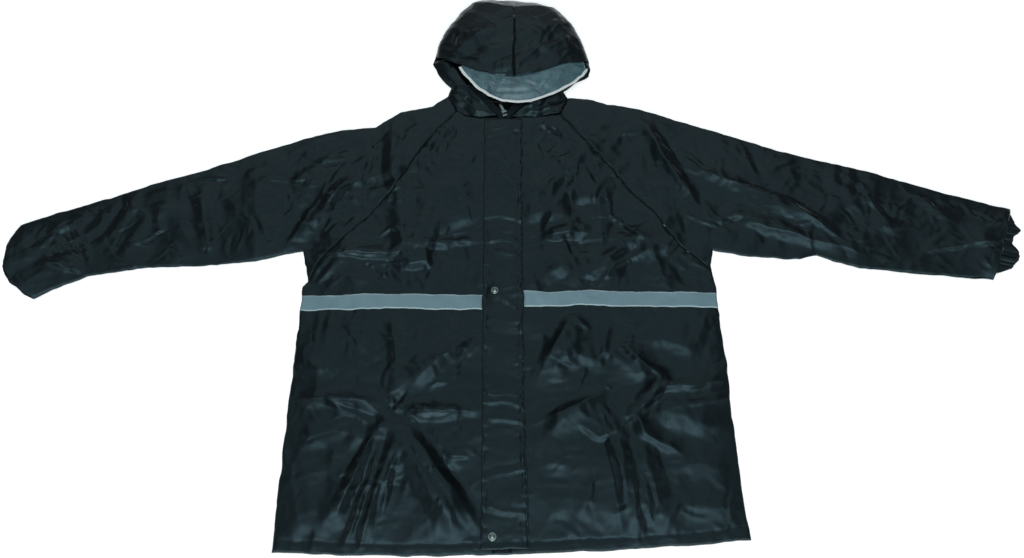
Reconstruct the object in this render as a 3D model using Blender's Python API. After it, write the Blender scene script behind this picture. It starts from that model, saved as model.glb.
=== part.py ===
"""A hooded raglan rain jacket, laid flat with its front up, as cut and sewn cloth pieces.

X runs to the wearer's left, Y from the hem to the hood, Z up from the table.
The origin is on the table, under the back panel, at mid-length.
Tables and sizes are in millimetres. Each cloth piece is a wall of even thickness
round a middle surface, which is a grid of points between two edges.
"""
import math

import bpy
import numpy as np
from mathutils import Matrix, Vector

MM = 0.001

# Cloth and seams
CLOTH = 1.2  # wall of the coated cloth
SEAM_GAP = 0.4  # between neighbouring pieces along a seam
RAGLAN_STEP = 0.8  # the same gap measured along the sleeve, which meets the seam aslant
LAYER_GAP = 0.5  # between a piece and the one lying on it
UNDER_MID = CLOTH / 2  # middle of the layer on the table
UPPER_EDGE_MID = CLOTH * 1.5 + LAYER_GAP  # middle of the upper layer at the outline
LOFT = 2.6  # how far the upper layer stands off the lower one inside the outline
EDGE_REACH = 24.0  # distance from the outline over which the loft builds up

# Body, as (x, y) from the hem upwards
SIDE_RIGHT = [(-329, -434), (-331, -348), (-332, -182), (-332, -38), (-333, -17), (-326, -6)]
SIDE_LEFT = [(331, -416), (327, -383), (326, -313), (324, -240), (324, -202), (327, -176),
             (325, -102), (324, -38), (325, -17), (323, -4)]
HEM = [(-329, -434), (-175, -439), (0, -437), (132, -431), (264, -423), (331, -416)]
RAGLAN_RIGHT = [(-326, -6), (-317, 17), (-305, 39), (-274, 74), (-236, 119), (-198, 174),
                (-170, 226), (-143, 281), (-98, 343)]
RAGLAN_LEFT = [(323, -4), (318, 20), (290, 44), (265, 72), (235, 125), (201, 166),
               (157, 232), (127, 272), (84, 334)]
BACK_RAGLAN_TOP_RIGHT, BACK_RAGLAN_TOP_LEFT = (-80, 370), (72, 370)
BACK_NECK_DIP = 6.0
BACK_COLUMNS, BACK_SIDE_ROWS, BACK_RAGLAN_ROWS = 8, 5, 6
ROWS_BELOW_TAPE, RAGLAN_ROWS, FRONT_COLUMNS = 11, 10, 11
NECK_RIGHT = [(-98, 343), (-84, 332), (-57, 326), (-26, 325)]
NECK_LEFT = [(84, 334), (78, 332), (50, 328), (-2, 325)]
SHOULDER_RIGHT, SHOULDER_LEFT = (-115, 380), (100, 374)  # where each sleeve ends at the neck

# Sleeves: each station's point on the upper edge and on the underarm edge, and how far
# the middle of that station bulges towards the wrist
SLEEVE_COLUMNS = ("top_x", "top_y", "under_x", "under_y", "bulge")
SLEEVE_RIGHT = [
    (-140, 356, -331, 20, 0), (-199, 341, -340, 50, 0), (-240, 307, -364, 45, 0),
    (-300, 300, -414, 32, 0), (-364, 281, -470, 26, 0), (-443, 248, -530, 22, 0),
    (-521, 216, -592, 19, 0), (-600, 187, -640, 11, 4), (-673, 157, -680, 4, 8),
    (-740, 131, -714, -13, 14), (-785, 113, -740, -29, 26), (-809, 103, -755, -39, 33),
]
SLEEVE_LEFT = [
    (135, 371, 320, 25, 0), (172, 359, 327, 53, 0), (228, 348, 364, 44, 0),
    (283, 325, 415, 38, 0), (338, 303, 466, 35, 0), (392, 283, 494, 43, 0),
    (445, 261, 518, 33, 0), (510, 239, 560, 19, 0), (576, 220, 620, 12, 0),
    (628, 203, 660, 8, 0), (679, 184, 692, 5, 0), (729, 166, 722, 1, 2),
    (785, 148, 750, -1, 2), (830, 133, 768, -3, 2),
]
SLEEVE_ROWS, NECK_COLUMNS = 17, 2
WRIST_RISE, WRIST_REACH = 6.5, 55.0  # how far the sleeve's mouth stands open, and how far in
CUFF_INSIDE = 26.0  # the elastic cuff's length inside the sleeve's mouth
CUFF_WALL, CUFF_WAVE, CUFF_WAVES = 1.0, 1.0, 5  # wall, and the gathers' height and number
CUFF_COLUMNS, CUFF_MOUTH = 16, 4.0  # and where the gathers start, inside the sleeve's hem
CUFF_SLACK, CUFF_RISE = 0.2, 1.7  # the gap inside the cuff's tube, at its edges and its middle
CUFF_NARROWER = 0.095  # share of the wrist that the elastic takes off at each edge
# How far each cuff stands out past the sleeve: (share of the wrist from the underarm, mm)
CUFF_FRILL_RIGHT = [(0, 3), (0.3, 6), (0.65, 6), (0.85, 3), (1, 3)]
CUFF_FRILL_LEFT = [(0, 4), (0.12, 20), (0.3, 30), (0.42, 27), (0.52, 13), (0.62, 12),
                   (0.78, 22), (0.88, 12), (1, 3)]

# Front closing
ZIP_X, ZIP_TAPE, ZIP_SEAM_GAP = -14.0, 11.6, 0.8  # middle line, width of one tape, gap beside it
ZIP_FOOT_Y, ZIP_OPEN_Y = -426.0, 330.0  # the zip's foot, and where it starts to open
FLAP_EDGE = [(-43, -428), (-45, -240), (-46, -20), (-48, 150), (-49, 321)]
FLAP_SEAM = [(25, -427), (19, -240), (17.5, -20), (17.5, 150), (18, 321)]
SNAP_PLACES = [(-28.0, -25.0), (-27.0, -413.0)]
SNAP_RADIUS, SNAP_HEIGHT = 6.3, 2.4
SNAP_PROFILE = [(1.0, 0), (1.0, 0.35), (0.86, 0.72), (0.55, 0.95), (0.2, 1.0)]  # (radius, height)
SNAP_LIFT, SNAP_SIDES = 0.9, 20
ZIP_TAPE_WALL, ZIP_ROWS, OPEN_ROWS = 1.0, 20, 5
OPEN_SPREAD, OPEN_FOOT_Y, CLOSED_TOP_Y = 2.4, ZIP_OPEN_Y + 6, ZIP_OPEN_Y - 4  # beside the slider
FLAP_ROWS, FLAP_COLUMNS = 26, 3
TAPE_WIDTH, TAPE_WALL, TAPE_COLUMNS = 27.0, 0.8, 14
TAPE_RIGHT_Y = [(-331, -46), (-260, -46), (-184, -43), (-120, -45), (-47, -45)]
TAPE_LEFT_Y = [(19, -40), (80, -40), (125, -37), (160, -40), (220, -40), (323, -41)]

# Largest folds of the upper layer: a line, its rise, and how far it reaches to each side
FOLD_COLUMNS = ("x0", "y0", "x1", "y1", "rise", "reach")
FOLDS = [
    (-212, 300, -176, 20, 4.0, 16), (-180, -60, -174, -190, 3.5, 16),
    (-250, 226, -362, 60, 5.0, 12), (-310, 45, -190, 45, 3.5, 14),
    (-165, 60, -70, 66, 4.5, 16), (-165, -190, -70, -105, 5.5, 20),
    (-168, -258, -76, -400, 7.0, 20), (-185, -240, -262, -400, 5.0, 12),
    (-170, -262, -205, -415, 5.0, 12), (-150, -225, -70, -236, 4.5, 14),
    (-190, -225, -280, -208, 4.5, 14), (150, -135, 222, -176, 6.0, 12),
    (222, -176, 178, -232, 5.5, 12), (215, -188, 312, -186, 5.0, 16),
    (150, -235, 168, -405, 5.5, 14), (178, -235, 216, -400, 6.0, 16),
    (110, -92, 52, -180, 5.5, 18), (128, -205, 50, -255, 5.0, 16),
    (126, 268, 50, 165, 4.5, 14), (205, 76, 110, -8, 5.5, 14),
    (45, 72, 105, 92, 4.5, 14), (228, 318, 292, 170, 5.5, 12),
    (300, 222, 560, 70, 6.0, 18), (372, 122, 540, 46, 5.0, 16),
    (520, 232, 618, 92, 5.5, 16), (665, 170, 722, 102, 4.0, 12),
    (-520, 165, -492, 62, 5.0, 12), (-418, 120, -392, 52, 4.5, 16),
    (-712, 112, -756, 74, 4.5, 16), (-745, 30, -700, 16, 4.0, 14),
]
FOLD_ENDS = 0.08  # share of a fold's length by which its fading starts early
WIDTH_OF_FLAP, TAPE_MIDDLE_Y, TAPE_END_X = 66.0, -43.0, 325
TAPE_ZONE = (TAPE_MIDDLE_Y - 20, TAPE_MIDDLE_Y + 20)  # a row of the fronts' grids at each
CALM_HALF_WIDTH, CALM_FADE = 31.0, 22.0  # the folds fade out this near the flap and the tapes

# Hood and collar
COLLAR_SIDE_RIGHT, COLLAR_SIDE_LEFT = (-108, 395), (92, 388)
COLLAR_BACK_TOP = [COLLAR_SIDE_RIGHT, (-70, 402), (60, 400), COLLAR_SIDE_LEFT]
COLLAR_CORNER_RIGHT, COLLAR_CORNER_LEFT = (-76, 394), (50, 392)
COLLAR_RISE = 8.0  # how far the collar climbs from the neck seam to its top edge by the zip
NECK_STEP, SHOULDER_STEP = 1.0, 1.4  # from the neck seam of the fronts, and from the sleeves
COLLAR_ROWS, COLLAR_COLUMNS, COLLAR_SIDE_COLUMNS = 4, 8, 2
COLLAR_BACK_GAPS, HOOD_BACK_GAP = (1.4, 1.0), 0.7  # at the foot and top, and above that
HOOD_EDGE_RIGHT = [(-108, 395), (-125, 414), (-137, 433), (-145, 455), (-141, 467), (-137, 492),
                   (-129, 522), (-115, 553), (-92, 590), (-77, 606), (-61, 613), (-30, 615)]
HOOD_EDGE_LEFT = [(92, 388), (115, 410), (139, 422), (144, 437), (142, 461), (134, 491),
                  (125, 522), (113, 553), (84, 591), (61, 601), (34, 609)]
BRIM = [(-139, 467), (-124, 455), (-107, 443), (-91, 433), (-77, 423), (-50, 411), (-26, 402),
        (4, 399), (18, 401), (47, 411), (77, 426), (99, 437), (127, 446), (142, 458)]
HOOD_SEAM_X, CROWN_Y, BRIM_MIDDLE_Y = 4.0, 613.0, 399.0
CROWN_GRID, HOOD_BACK_ROWS = 8, 9
CROWN_EDGE_STEPS, CROWN_SIDE_STEPS = 14, 11  # the crown's side takes that many of its edge's
CROWN_CROWDING = 1.4  # draws the crown's columns towards the hood's edge
CROWN_PROFILE = [(399, 34), (440, 40), (490, 40), (535, 33), (575, 20), (613, 6)]  # (y, height)
HOOD_FOLDS = [(-52, 588, -4, 556, -5.0, 16), (-4, 556, 52, 580, -5.0, 16),
              (100, 560, 45, 500, 4.0, 12), (-112, 520, -60, 500, 3.0, 12)]  # FOLD_COLUMNS
CHEEK_MID, CHEEK_WIDTH, CHEEK_STEP = 11.0, 10.0, 1.2  # face edge height, top width, seam gap
CHEEK_ROWS = 5
CHEEK_EDGE_DROP, CHEEK_TOP_DROP, CHEEK_FACE_DROP = 8, 6, 10  # below the brim's corner
VISOR_ARC = [(-92, 432), (-79, 410), (-61, 388), (-39, 369), (-16, 359), (8, 356),
             (32, 358), (59, 368), (86, 382), (109, 400), (125, 417), (134, 436)]
VISOR_TUCK, VISOR_BELOW_BRIM = 5.0, 3.08  # how far the film runs in, and under the brim's middle
VISOR_NARROWER, VISOR_CORNER_DROP, VISOR_COLUMNS, VISOR_ROWS = 0.04, 2.0, 14, 4
VISOR_WALL, VISOR_EDGE_MID, VISOR_BELLY = 0.8, 17.5, 2.0
BINDING_WIDTH, BINDING_WALL = 5.5, 2.0

# Zip slider and its pull tab, which lies towards the hood
SLIDER_AT, SLIDER_TURN = (-14.0, 334.0), math.radians(22)
SLIDER_SIZE, SLIDER_LIFT = (9.0, 13.0, 3.0), 0.6
SLIDER_ROUNDING = 0.8
LUG_SIZE, LUG_APART = (1.4, 4.4), 5.8  # along the pin and along the slider
LUG_SINK, LUG_OVER_PIN = 1.0, 0.8
PIN_RADIUS, EYE_BORE, EYE_RADIUS, EYE_LIFT = 0.6, 0.7, 1.8, 0.4
PULL_SIZE, EYE_WIDER = (4.6, 20.0, 1.2), 0.6

NAVY_BLACK = (0.010, 0.016, 0.020, 1)
TAPE_GREY = (0.13, 0.22, 0.26, 1)
FILM_GREY = (0.10, 0.15, 0.17, 0.6)
WHITE = (0.75, 0.80, 0.80, 1)
STEEL = (0.55, 0.60, 0.60, 1)
ZIP_BLACK = (0.012, 0.014, 0.016, 1)


def material(name, colour, roughness, metallic=0.0):
    made = bpy.data.materials.new(name)
    made.use_nodes = True
    shader = made.node_tree.nodes["Principled BSDF"]
    shader.inputs["Base Color"].default_value = colour
    shader.inputs["Roughness"].default_value = roughness
    shader.inputs["Metallic"].default_value = metallic
    shader.inputs["Alpha"].default_value = colour[3]
    return made


def along(points, count):
    """count + 1 points at even distances along the line through the given ones."""
    points = np.array(points, float)
    run = np.concatenate([[0], np.cumsum(np.linalg.norm(np.diff(points, axis=0), axis=1))])
    at = np.linspace(0, run[-1], count + 1)
    return np.stack([np.interp(at, run, points[:, k]) for k in range(points.shape[1])], axis=1)


def between(first, last, count):
    """Rows of points: from each point of the first line straight to its match on the last."""
    share = np.linspace(0, 1, count + 1)[None, :, None]
    return first[:, None, :] * (1 - share) + last[:, None, :] * share


def step_in(rows, gap):
    """Moves the first row the given distance towards the second, to leave a seam's gap."""
    rows = rows.copy()
    way = rows[1] - rows[0]
    rows[0] += way / np.linalg.norm(way, axis=1, keepdims=True) * gap
    return rows


def sleeve_edges(stations):
    table = [dict(zip(SLEEVE_COLUMNS, row)) for row in stations]
    top = [(row["top_x"], row["top_y"]) for row in table]
    under = [(row["under_x"], row["under_y"]) for row in table]
    return np.array(top, float), np.array(under, float), np.array([row["bulge"] for row in table])


def silhouette():
    """The edges where both layers meet: each sleeve's upper edge, and wrist to hem to wrist."""
    top_r, under_r, _ = sleeve_edges(SLEEVE_RIGHT)
    top_l, under_l, _ = sleeve_edges(SLEEVE_LEFT)
    below = [under_r[::-1], SIDE_RIGHT[::-1], HEM, SIDE_LEFT, under_l]
    lines = [np.concatenate([[SHOULDER_RIGHT], top_r]), np.concatenate([[SHOULDER_LEFT], top_l]),
             np.concatenate([np.array(part, float) for part in below])]
    return np.concatenate([np.stack([line[:-1], line[1:]], axis=1) for line in lines])


def distance_to_edges(points, stretches):
    """Distance of each point from the nearest of the straight stretches."""
    start, way = stretches[:, 0], stretches[:, 1] - stretches[:, 0]
    size = np.maximum((way ** 2).sum(1), 1e-9)
    from_start = points[:, None, :] - start[None]
    share = np.clip((from_start * way).sum(2) / size, 0, 1)
    return np.linalg.norm(from_start - share[..., None] * way, axis=2).min(1)


def fold_rise(points, folds):
    """Sum of the folds: each a rounded ridge along its line that fades out at both ends."""
    rise = np.zeros(len(points))
    for row in folds:
        fold = dict(zip(FOLD_COLUMNS, row))
        start = np.array([fold["x0"], fold["y0"]], float)
        way = np.array([fold["x1"], fold["y1"]], float) - start
        share = np.clip((points - start) @ way / (way @ way), 0, 1)
        off = np.linalg.norm(points - start - share[:, None] * way, axis=1)
        fade = np.sin(math.pi * (FOLD_ENDS + (1 - 2 * FOLD_ENDS) * share)) ** 0.5
        rise += fold["rise"] * fade * np.exp(-((off / fold["reach"]) ** 2))
    return rise


def calm(points):
    """0 beside the storm flap and the tapes, which lie flat, and 1 away from them."""
    from_flap = np.abs(points[:, 0] - (FLAP_EDGE[0][0] + FLAP_SEAM[0][0]) / 2) - WIDTH_OF_FLAP / 2
    from_tape = np.abs(points[:, 1] - TAPE_MIDDLE_Y) + np.maximum(0, np.abs(points[:, 0]) - TAPE_END_X)
    near = np.minimum(from_flap, from_tape)
    return np.clip((near - CALM_HALF_WIDTH + CALM_FADE / 2) / CALM_FADE, 0, 1)


OUTLINE = silhouette()


def upper_height(grid, above=0.0):
    """Middle height of the upper layer over a grid of (x, y): an even loft and the folds."""
    flat = grid.reshape(-1, 2)
    inside = 1 - np.exp(-distance_to_edges(flat, OUTLINE) / EDGE_REACH)
    height = UPPER_EDGE_MID + inside * (LOFT + fold_rise(flat, FOLDS) * calm(flat)) + above
    return np.concatenate([flat, height[:, None]], axis=1).reshape(*grid.shape[:2], 3)


def at_height(grid, height):
    return np.concatenate([grid, np.broadcast_to(height, grid.shape[:2])[..., None]], axis=2)


def grid_normals(grid):
    across, upward = np.gradient(grid, axis=0), np.gradient(grid, axis=1)
    normal = np.cross(across, upward)
    normal /= np.linalg.norm(normal, axis=2, keepdims=True)
    return normal if normal[..., 2].sum() > 0 else -normal


def add_object(name, points, faces, look, smooth=True):
    """One mesh object from points in millimetres, with its faces turned outwards."""
    corners = [np.array([points[f[0]], points[f[k]], points[f[k + 1]]])
               for f in faces for k in range(1, len(f) - 1)]
    if sum(np.linalg.det(c) for c in corners) < 0:
        faces = [f[::-1] for f in faces]
    mesh = bpy.data.meshes.new(name)
    mesh.from_pydata((np.array(points) * MM).tolist(), [], [list(map(int, f)) for f in faces])
    if smooth:
        mesh.shade_smooth()
        mesh.set_sharp_from_angle(angle=math.radians(40))
    obj = bpy.data.objects.new(name, mesh)
    obj.data.materials.append(look)
    bpy.context.scene.collection.objects.link(obj)
    return obj


def add_cloth(name, grid, look, wall=CLOTH):
    """A sheet of even thickness round a grid of middle points, closed along its rim."""
    rows, columns = grid.shape[:2]
    normal = grid_normals(grid)
    points = np.concatenate([(grid + normal * wall / 2).reshape(-1, 3),
                             (grid - normal * wall / 2).reshape(-1, 3)])
    index = np.arange(rows * columns).reshape(rows, columns)
    below = index + rows * columns
    faces = []
    for i in range(rows - 1):
        for j in range(columns - 1):
            faces.append((index[i, j], index[i, j + 1], index[i + 1, j + 1], index[i + 1, j]))
            faces.append((below[i, j], below[i + 1, j], below[i + 1, j + 1], below[i, j + 1]))
    rim = [*index[0, :-1], *index[:-1, -1], *index[-1, :0:-1], *index[:0:-1, 0]]
    under = [*below[0, :-1], *below[:-1, -1], *below[-1, :0:-1], *below[:0:-1, 0]]
    for k in range(len(rim)):
        after = (k + 1) % len(rim)
        faces.append((rim[k], under[k], under[after], rim[after]))
    return add_object(name, points, faces, look)


def hem_bow(grid):
    """Drops the lower rows onto the hem's curve; the shift fades out towards the neck."""
    grid = grid.copy()
    hem = np.array(HEM, float)
    straight = np.interp(grid[0, :, 0], hem[[0, -1], 0], hem[[0, -1], 1])
    shift = np.interp(grid[0, :, 0], hem[:, 0], hem[:, 1]) - straight
    fade = (1 - np.linspace(0, 1, len(grid))) ** 2
    grid[..., 1] += fade[:, None] * shift[None, :]
    return grid


def add_back(look):
    right_top = [SIDE_RIGHT[-1], BACK_RAGLAN_TOP_RIGHT]
    left_top = [SIDE_LEFT[-1], BACK_RAGLAN_TOP_LEFT]
    right, left = (np.concatenate([along(side, BACK_SIDE_ROWS), along(top, BACK_RAGLAN_ROWS)[1:]])
                   for side, top in ((SIDE_RIGHT, right_top), (SIDE_LEFT, left_top)))
    grid = hem_bow(between(right, left, BACK_COLUMNS))
    dip = BACK_NECK_DIP * np.sin(math.pi * np.linspace(0, 1, grid.shape[1]))
    grid[-1, :, 1] -= dip
    add_cloth("back", at_height(grid, UNDER_MID), look)


def at_rows(line, ys):
    """Points of a line that only rises, at the given y."""
    line = np.array(line, float)
    return np.stack([np.interp(ys, line[:, 1], line[:, 0]), ys], axis=1)


def add_front(name, side, raglan, neck, closing_x, look):
    """A front panel: rows run from the side seam, then the raglan seam, to the zip."""
    low, high = TAPE_ZONE
    hem_x, hem_y = np.array([HEM[0], HEM[-1]], float).T
    zip_low = np.interp(closing_x, hem_x, hem_y)
    outer_rows = np.append(np.linspace(side[0][1], low, ROWS_BELOW_TAPE + 1), high)
    zip_rows = np.append(np.linspace(zip_low, low, ROWS_BELOW_TAPE + 1), high)
    outer = np.concatenate([at_rows(side, outer_rows), along(raglan, RAGLAN_ROWS)])
    above = np.linspace(high, neck[-1][1], RAGLAN_ROWS + 2)[1:]
    zip_edge = at_rows([(closing_x, zip_low), (closing_x, neck[-1][1])],
                       np.concatenate([zip_rows, above]))
    grid = hem_bow(between(outer, zip_edge, FRONT_COLUMNS))
    neck_line = along(neck, FRONT_COLUMNS)
    grid[-1] = neck_line
    grid[-2] = (grid[-3] + neck_line) / 2
    add_cloth(name, upper_height(grid), look)


def sleeve_grid(stations, raglan, shoulder):
    """Rows from the raglan seam to the wrist, columns from the underarm to the upper edge."""
    top, under, bulge = sleeve_edges(stations)
    table = along(np.concatenate([top, under, bulge[:, None]], axis=1), SLEEVE_ROWS)
    first = np.concatenate([along(raglan, RAGLAN_ROWS),
                            along([raglan[-1], shoulder], NECK_COLUMNS)[1:]])
    share = np.linspace(0, 1, len(first))
    rows = [first]
    for row in table:
        top_point, under_point, out = row[:2], row[2:4], row[4]
        way = top_point - under_point
        wristward = np.array([way[1], -way[0]]) / np.linalg.norm(way)
        wristward *= math.copysign(1, wristward[0] * top_point[0])
        rows.append(under_point + share[:, None] * way
                    + wristward * (out * 4 * share * (1 - share))[:, None])
    return step_in(np.array(rows), RAGLAN_STEP)


def mouth_rise(from_wrist, share):
    """How far the sleeve's upper layer stands up towards its mouth."""
    arch = np.sqrt(np.sin(math.pi * np.clip(share, 0, 1)))
    return WRIST_RISE * np.exp(-((from_wrist / WRIST_REACH) ** 2)) * arch


def add_tube(name, upper, lower, look, wall=CLOTH):
    """A tube pressed flat, open at both ends, from the middles of its upper and lower layer."""
    rows, columns = upper.shape[:2]
    up = np.array([0, 0, wall / 2])
    outer = np.concatenate([upper + up, (lower - up)[:, ::-1]], axis=1)
    inner_up, inner_low = upper - up, lower + up
    for layer in (inner_up, inner_low):
        for edge, inside in ((0, 1), (-1, -2)):
            way = layer[:, inside, :2] - layer[:, edge, :2]
            layer[:, edge, :2] += way / np.linalg.norm(way, axis=1, keepdims=True) * wall
    inner = np.concatenate([inner_up, inner_low[:, ::-1]], axis=1)
    around = 2 * columns
    out = np.arange(rows * around).reshape(rows, around)
    into = out + rows * around
    faces = []
    for k in range(around):
        n = (k + 1) % around
        for i in range(rows - 1):
            faces.append((out[i, k], out[i, n], out[i + 1, n], out[i + 1, k]))
            faces.append((into[i, k], into[i + 1, k], into[i + 1, n], into[i, n]))
        faces.append((out[0, n], out[0, k], into[0, k], into[0, n]))
        faces.append((out[-1, k], out[-1, n], into[-1, n], into[-1, k]))
    points = np.concatenate([outer.reshape(-1, 3), inner.reshape(-1, 3)])
    return add_object(name, points, faces, look)


def add_sleeve(side, stations, raglan, back_top, shoulder, look):
    """The sleeve's tube. It returns its last two rows, for the cuff."""
    front = sleeve_grid(stations, raglan, shoulder)
    share = np.linspace(0, 1, front.shape[1])[None, :]
    from_wrist = np.linalg.norm(front - front[-1], axis=2)
    upper = upper_height(front)
    upper[..., 2] += mouth_rise(from_wrist, share)
    lower = sleeve_grid(stations, along([raglan[0], back_top], RAGLAN_ROWS), shoulder)
    add_tube(f"sleeve_{side}", upper, at_height(lower, UNDER_MID), look)
    return front[-1], front[-2]


def add_cuff(side, wrist, before_wrist, frill, look):
    """The elastic cuff: a flat tube, part inside the sleeve's mouth, with a gathered edge."""
    line = along(wrist, CUFF_COLUMNS)
    middle = line.mean(0)
    outward = middle - before_wrist.mean(0)
    outward /= np.linalg.norm(outward)
    share = np.linspace(0, 1, CUFF_COLUMNS + 1)
    narrow = middle + (line - middle) * (1 - 2 * CUFF_NARROWER)
    past = np.interp(share, *np.array(frill, float).T)
    level = np.ones(CUFF_COLUMNS + 1)
    reach = np.array([-CUFF_INSIDE * level, -CUFF_MOUTH * level, past / 2, past])
    grid = narrow[None] + outward * reach[..., None]
    sleeve_share = CUFF_NARROWER + share * (1 - 2 * CUFF_NARROWER)
    low = CLOTH + LAYER_GAP + CUFF_WALL / 2
    arch = np.sin(math.pi * sleeve_share)
    gathers = CUFF_WAVE * np.sin(2 * math.pi * CUFF_WAVES * share) * np.sin(math.pi * share)
    grow = np.array([0.0, 0.2, 0.9, 1.0])[:, None]  # of the gathers, row by row
    high = low + CUFF_WALL + CUFF_SLACK + CUFF_RISE * arch[None] + grow * gathers[None]
    add_tube(f"cuff_{side}", at_height(grid, high), at_height(grid, low), look, CUFF_WALL)


def opened_zip(corner, sign):
    """The middle line of the tape that stands open above the slider, as two points."""
    foot = (ZIP_X + sign * (ZIP_TAPE / 2 + OPEN_SPREAD), OPEN_FOOT_Y)
    return np.array([foot, corner], float)


def collar_climb(grid, share):
    """Middle height over a grid of the collar: its rows rise from the neck to the top edge."""
    solid = upper_height(grid)
    solid[..., 2] += share * COLLAR_RISE
    return solid


def add_zip_tape(side, sign, corner, look):
    """One tape: straight up under the flap, then out along the collar's front edge."""
    middle_x = ZIP_X + sign * (ZIP_TAPE / 2 + SEAM_GAP / 2)
    straight = along([(middle_x, ZIP_FOOT_Y), (middle_x, CLOSED_TOP_Y)], ZIP_ROWS)
    line = np.concatenate([straight, along(opened_zip(corner, sign), OPEN_ROWS)])
    ahead = np.gradient(line, axis=0)
    ahead /= np.linalg.norm(ahead, axis=1, keepdims=True)
    aside = np.stack([ahead[:, 1], -ahead[:, 0]], axis=1) * ZIP_TAPE / 2
    grid = between(line - aside, line + aside, 1)
    share = np.clip((line[:, 1] - OPEN_FOOT_Y) / (corner[1] - OPEN_FOOT_Y), 0, 1)
    add_cloth(f"zip_tape_{side}", collar_climb(grid, share[:, None]), look, ZIP_TAPE_WALL)


def add_collar_half(side, neck, shoulder, collar_side, corner, sign, look):
    """Half the stand collar: from the neck seam to its top edge, and from zip to side."""
    tape = opened_zip(corner, sign)
    ahead = (tape[1] - tape[0]) / np.linalg.norm(tape[1] - tape[0])
    aside = np.array([ahead[1], -ahead[0]])
    aside *= math.copysign(1, aside[0] * sign) * (ZIP_TAPE / 2 + NECK_STEP)
    zip_edge = tape + aside
    front_seam = np.array(neck[-2::-1], float) + (0, NECK_STEP)
    front_seam[-1, 0] -= sign * NECK_STEP
    side_seam = [front_seam[-1], (shoulder[0] - sign * SHOULDER_STEP, shoulder[1])]
    foot = np.concatenate([along([zip_edge[0], *front_seam], COLLAR_COLUMNS - COLLAR_SIDE_COLUMNS),
                           along(side_seam, COLLAR_SIDE_COLUMNS)[1:]])
    top = along([zip_edge[1], (collar_side[0] - sign * NECK_STEP, collar_side[1])], COLLAR_COLUMNS)
    grid = between(foot, top, COLLAR_ROWS).transpose(1, 0, 2)
    share = np.linspace(0, 1, COLLAR_ROWS + 1)[:, None]
    fade = 1 - np.linspace(0, 1, COLLAR_COLUMNS + 1)[None, :] ** 3
    solid = collar_climb(grid, share * fade)
    add_cloth(f"collar_{side}", solid, look)
    return solid[-1]


def add_collar_back(look):
    foot = along([SHOULDER_RIGHT, BACK_RAGLAN_TOP_RIGHT, (0, BACK_RAGLAN_TOP_RIGHT[1] - BACK_NECK_DIP),
                  BACK_RAGLAN_TOP_LEFT, SHOULDER_LEFT], 10)
    top = along(COLLAR_BACK_TOP, 10)
    grid = between(foot, top, 2).transpose(1, 0, 2)
    grid[0, :, 1] += COLLAR_BACK_GAPS[0]
    grid[-1, :, 1] -= COLLAR_BACK_GAPS[1]
    add_cloth("collar_back", at_height(grid, UNDER_MID), look)


def add_hood_back(look):
    right, left = along(HOOD_EDGE_RIGHT, HOOD_BACK_ROWS), along(HOOD_EDGE_LEFT, HOOD_BACK_ROWS)
    grid = between(right, left, CROWN_GRID)
    grid[0] = along(COLLAR_BACK_TOP, CROWN_GRID)
    grid = step_in(grid, HOOD_BACK_GAP)
    add_cloth("hood_back", at_height(grid, UNDER_MID), look)


def brim_dome(x):
    """The brim's middle height at x: it falls in a half ellipse to the hood's edge."""
    half = np.where(x < HOOD_SEAM_X, HOOD_SEAM_X - BRIM[0][0], BRIM[-1][0] - HOOD_SEAM_X)
    share = np.clip(np.abs(x - HOOD_SEAM_X) / half, 0, 1)
    return UPPER_EDGE_MID + (CROWN_PROFILE[0][1] - UPPER_EDGE_MID) * np.sqrt(1 - share ** 2)


def crown_grid(edge, sign):
    """Half the crown: rows from the brim to the fold at the back, columns from edge to seam."""
    seam_x = HOOD_SEAM_X + sign * SEAM_GAP / 2
    half = [point for point in BRIM[::-sign] if sign * (point[0] - seam_x) > 0]
    brim = np.array(half + [(seam_x, BRIM_MIDDLE_Y)])
    above = [point for point in edge if point[1] > brim[0, 1] + 1]
    edge_line = along([brim[0], *above, (seam_x + sign * 2, CROWN_Y + 1)], CROWN_EDGE_STEPS)
    outer = along(edge_line[:CROWN_SIDE_STEPS + 1], CROWN_GRID)
    top = along([outer[-1], (seam_x, CROWN_Y)], CROWN_GRID)
    share = np.linspace(0, 1, CROWN_GRID + 1) ** CROWN_CROWDING
    front = np.stack([np.interp(share, np.linspace(0, 1, len(brim)), brim[:, k]) for k in (0, 1)], 1)
    seam = along([(seam_x, front[-1, 1]), (seam_x, CROWN_Y)], CROWN_GRID)
    down = np.linspace(0, 1, CROWN_GRID + 1)[:, None, None]
    across = share[None, :, None]
    corners = ((1 - down) * ((1 - across) * front[0] + across * front[-1])
               + down * ((1 - across) * top[0] + across * top[-1]))
    grid = ((1 - across) * outer[:, None] + across * seam[:, None]
            + (1 - down) * front[None] + down * top[None] - corners)
    flat = grid.reshape(-1, 2)
    middle = np.interp(seam[:, 1], *np.array(CROWN_PROFILE, float).T)[:, None]
    half = np.abs(outer[:, 0] - seam_x)[:, None]
    off = np.clip(np.abs(grid[..., 0] - seam_x) / np.maximum(half, 1), 0, 1)
    height = UPPER_EDGE_MID + (middle - UPPER_EDGE_MID) * np.sqrt(1 - off ** 2)
    folds = fold_rise(flat, HOOD_FOLDS).reshape(height.shape)
    return at_height(grid, height + folds * np.clip(height / 20, 0, 1))


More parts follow.
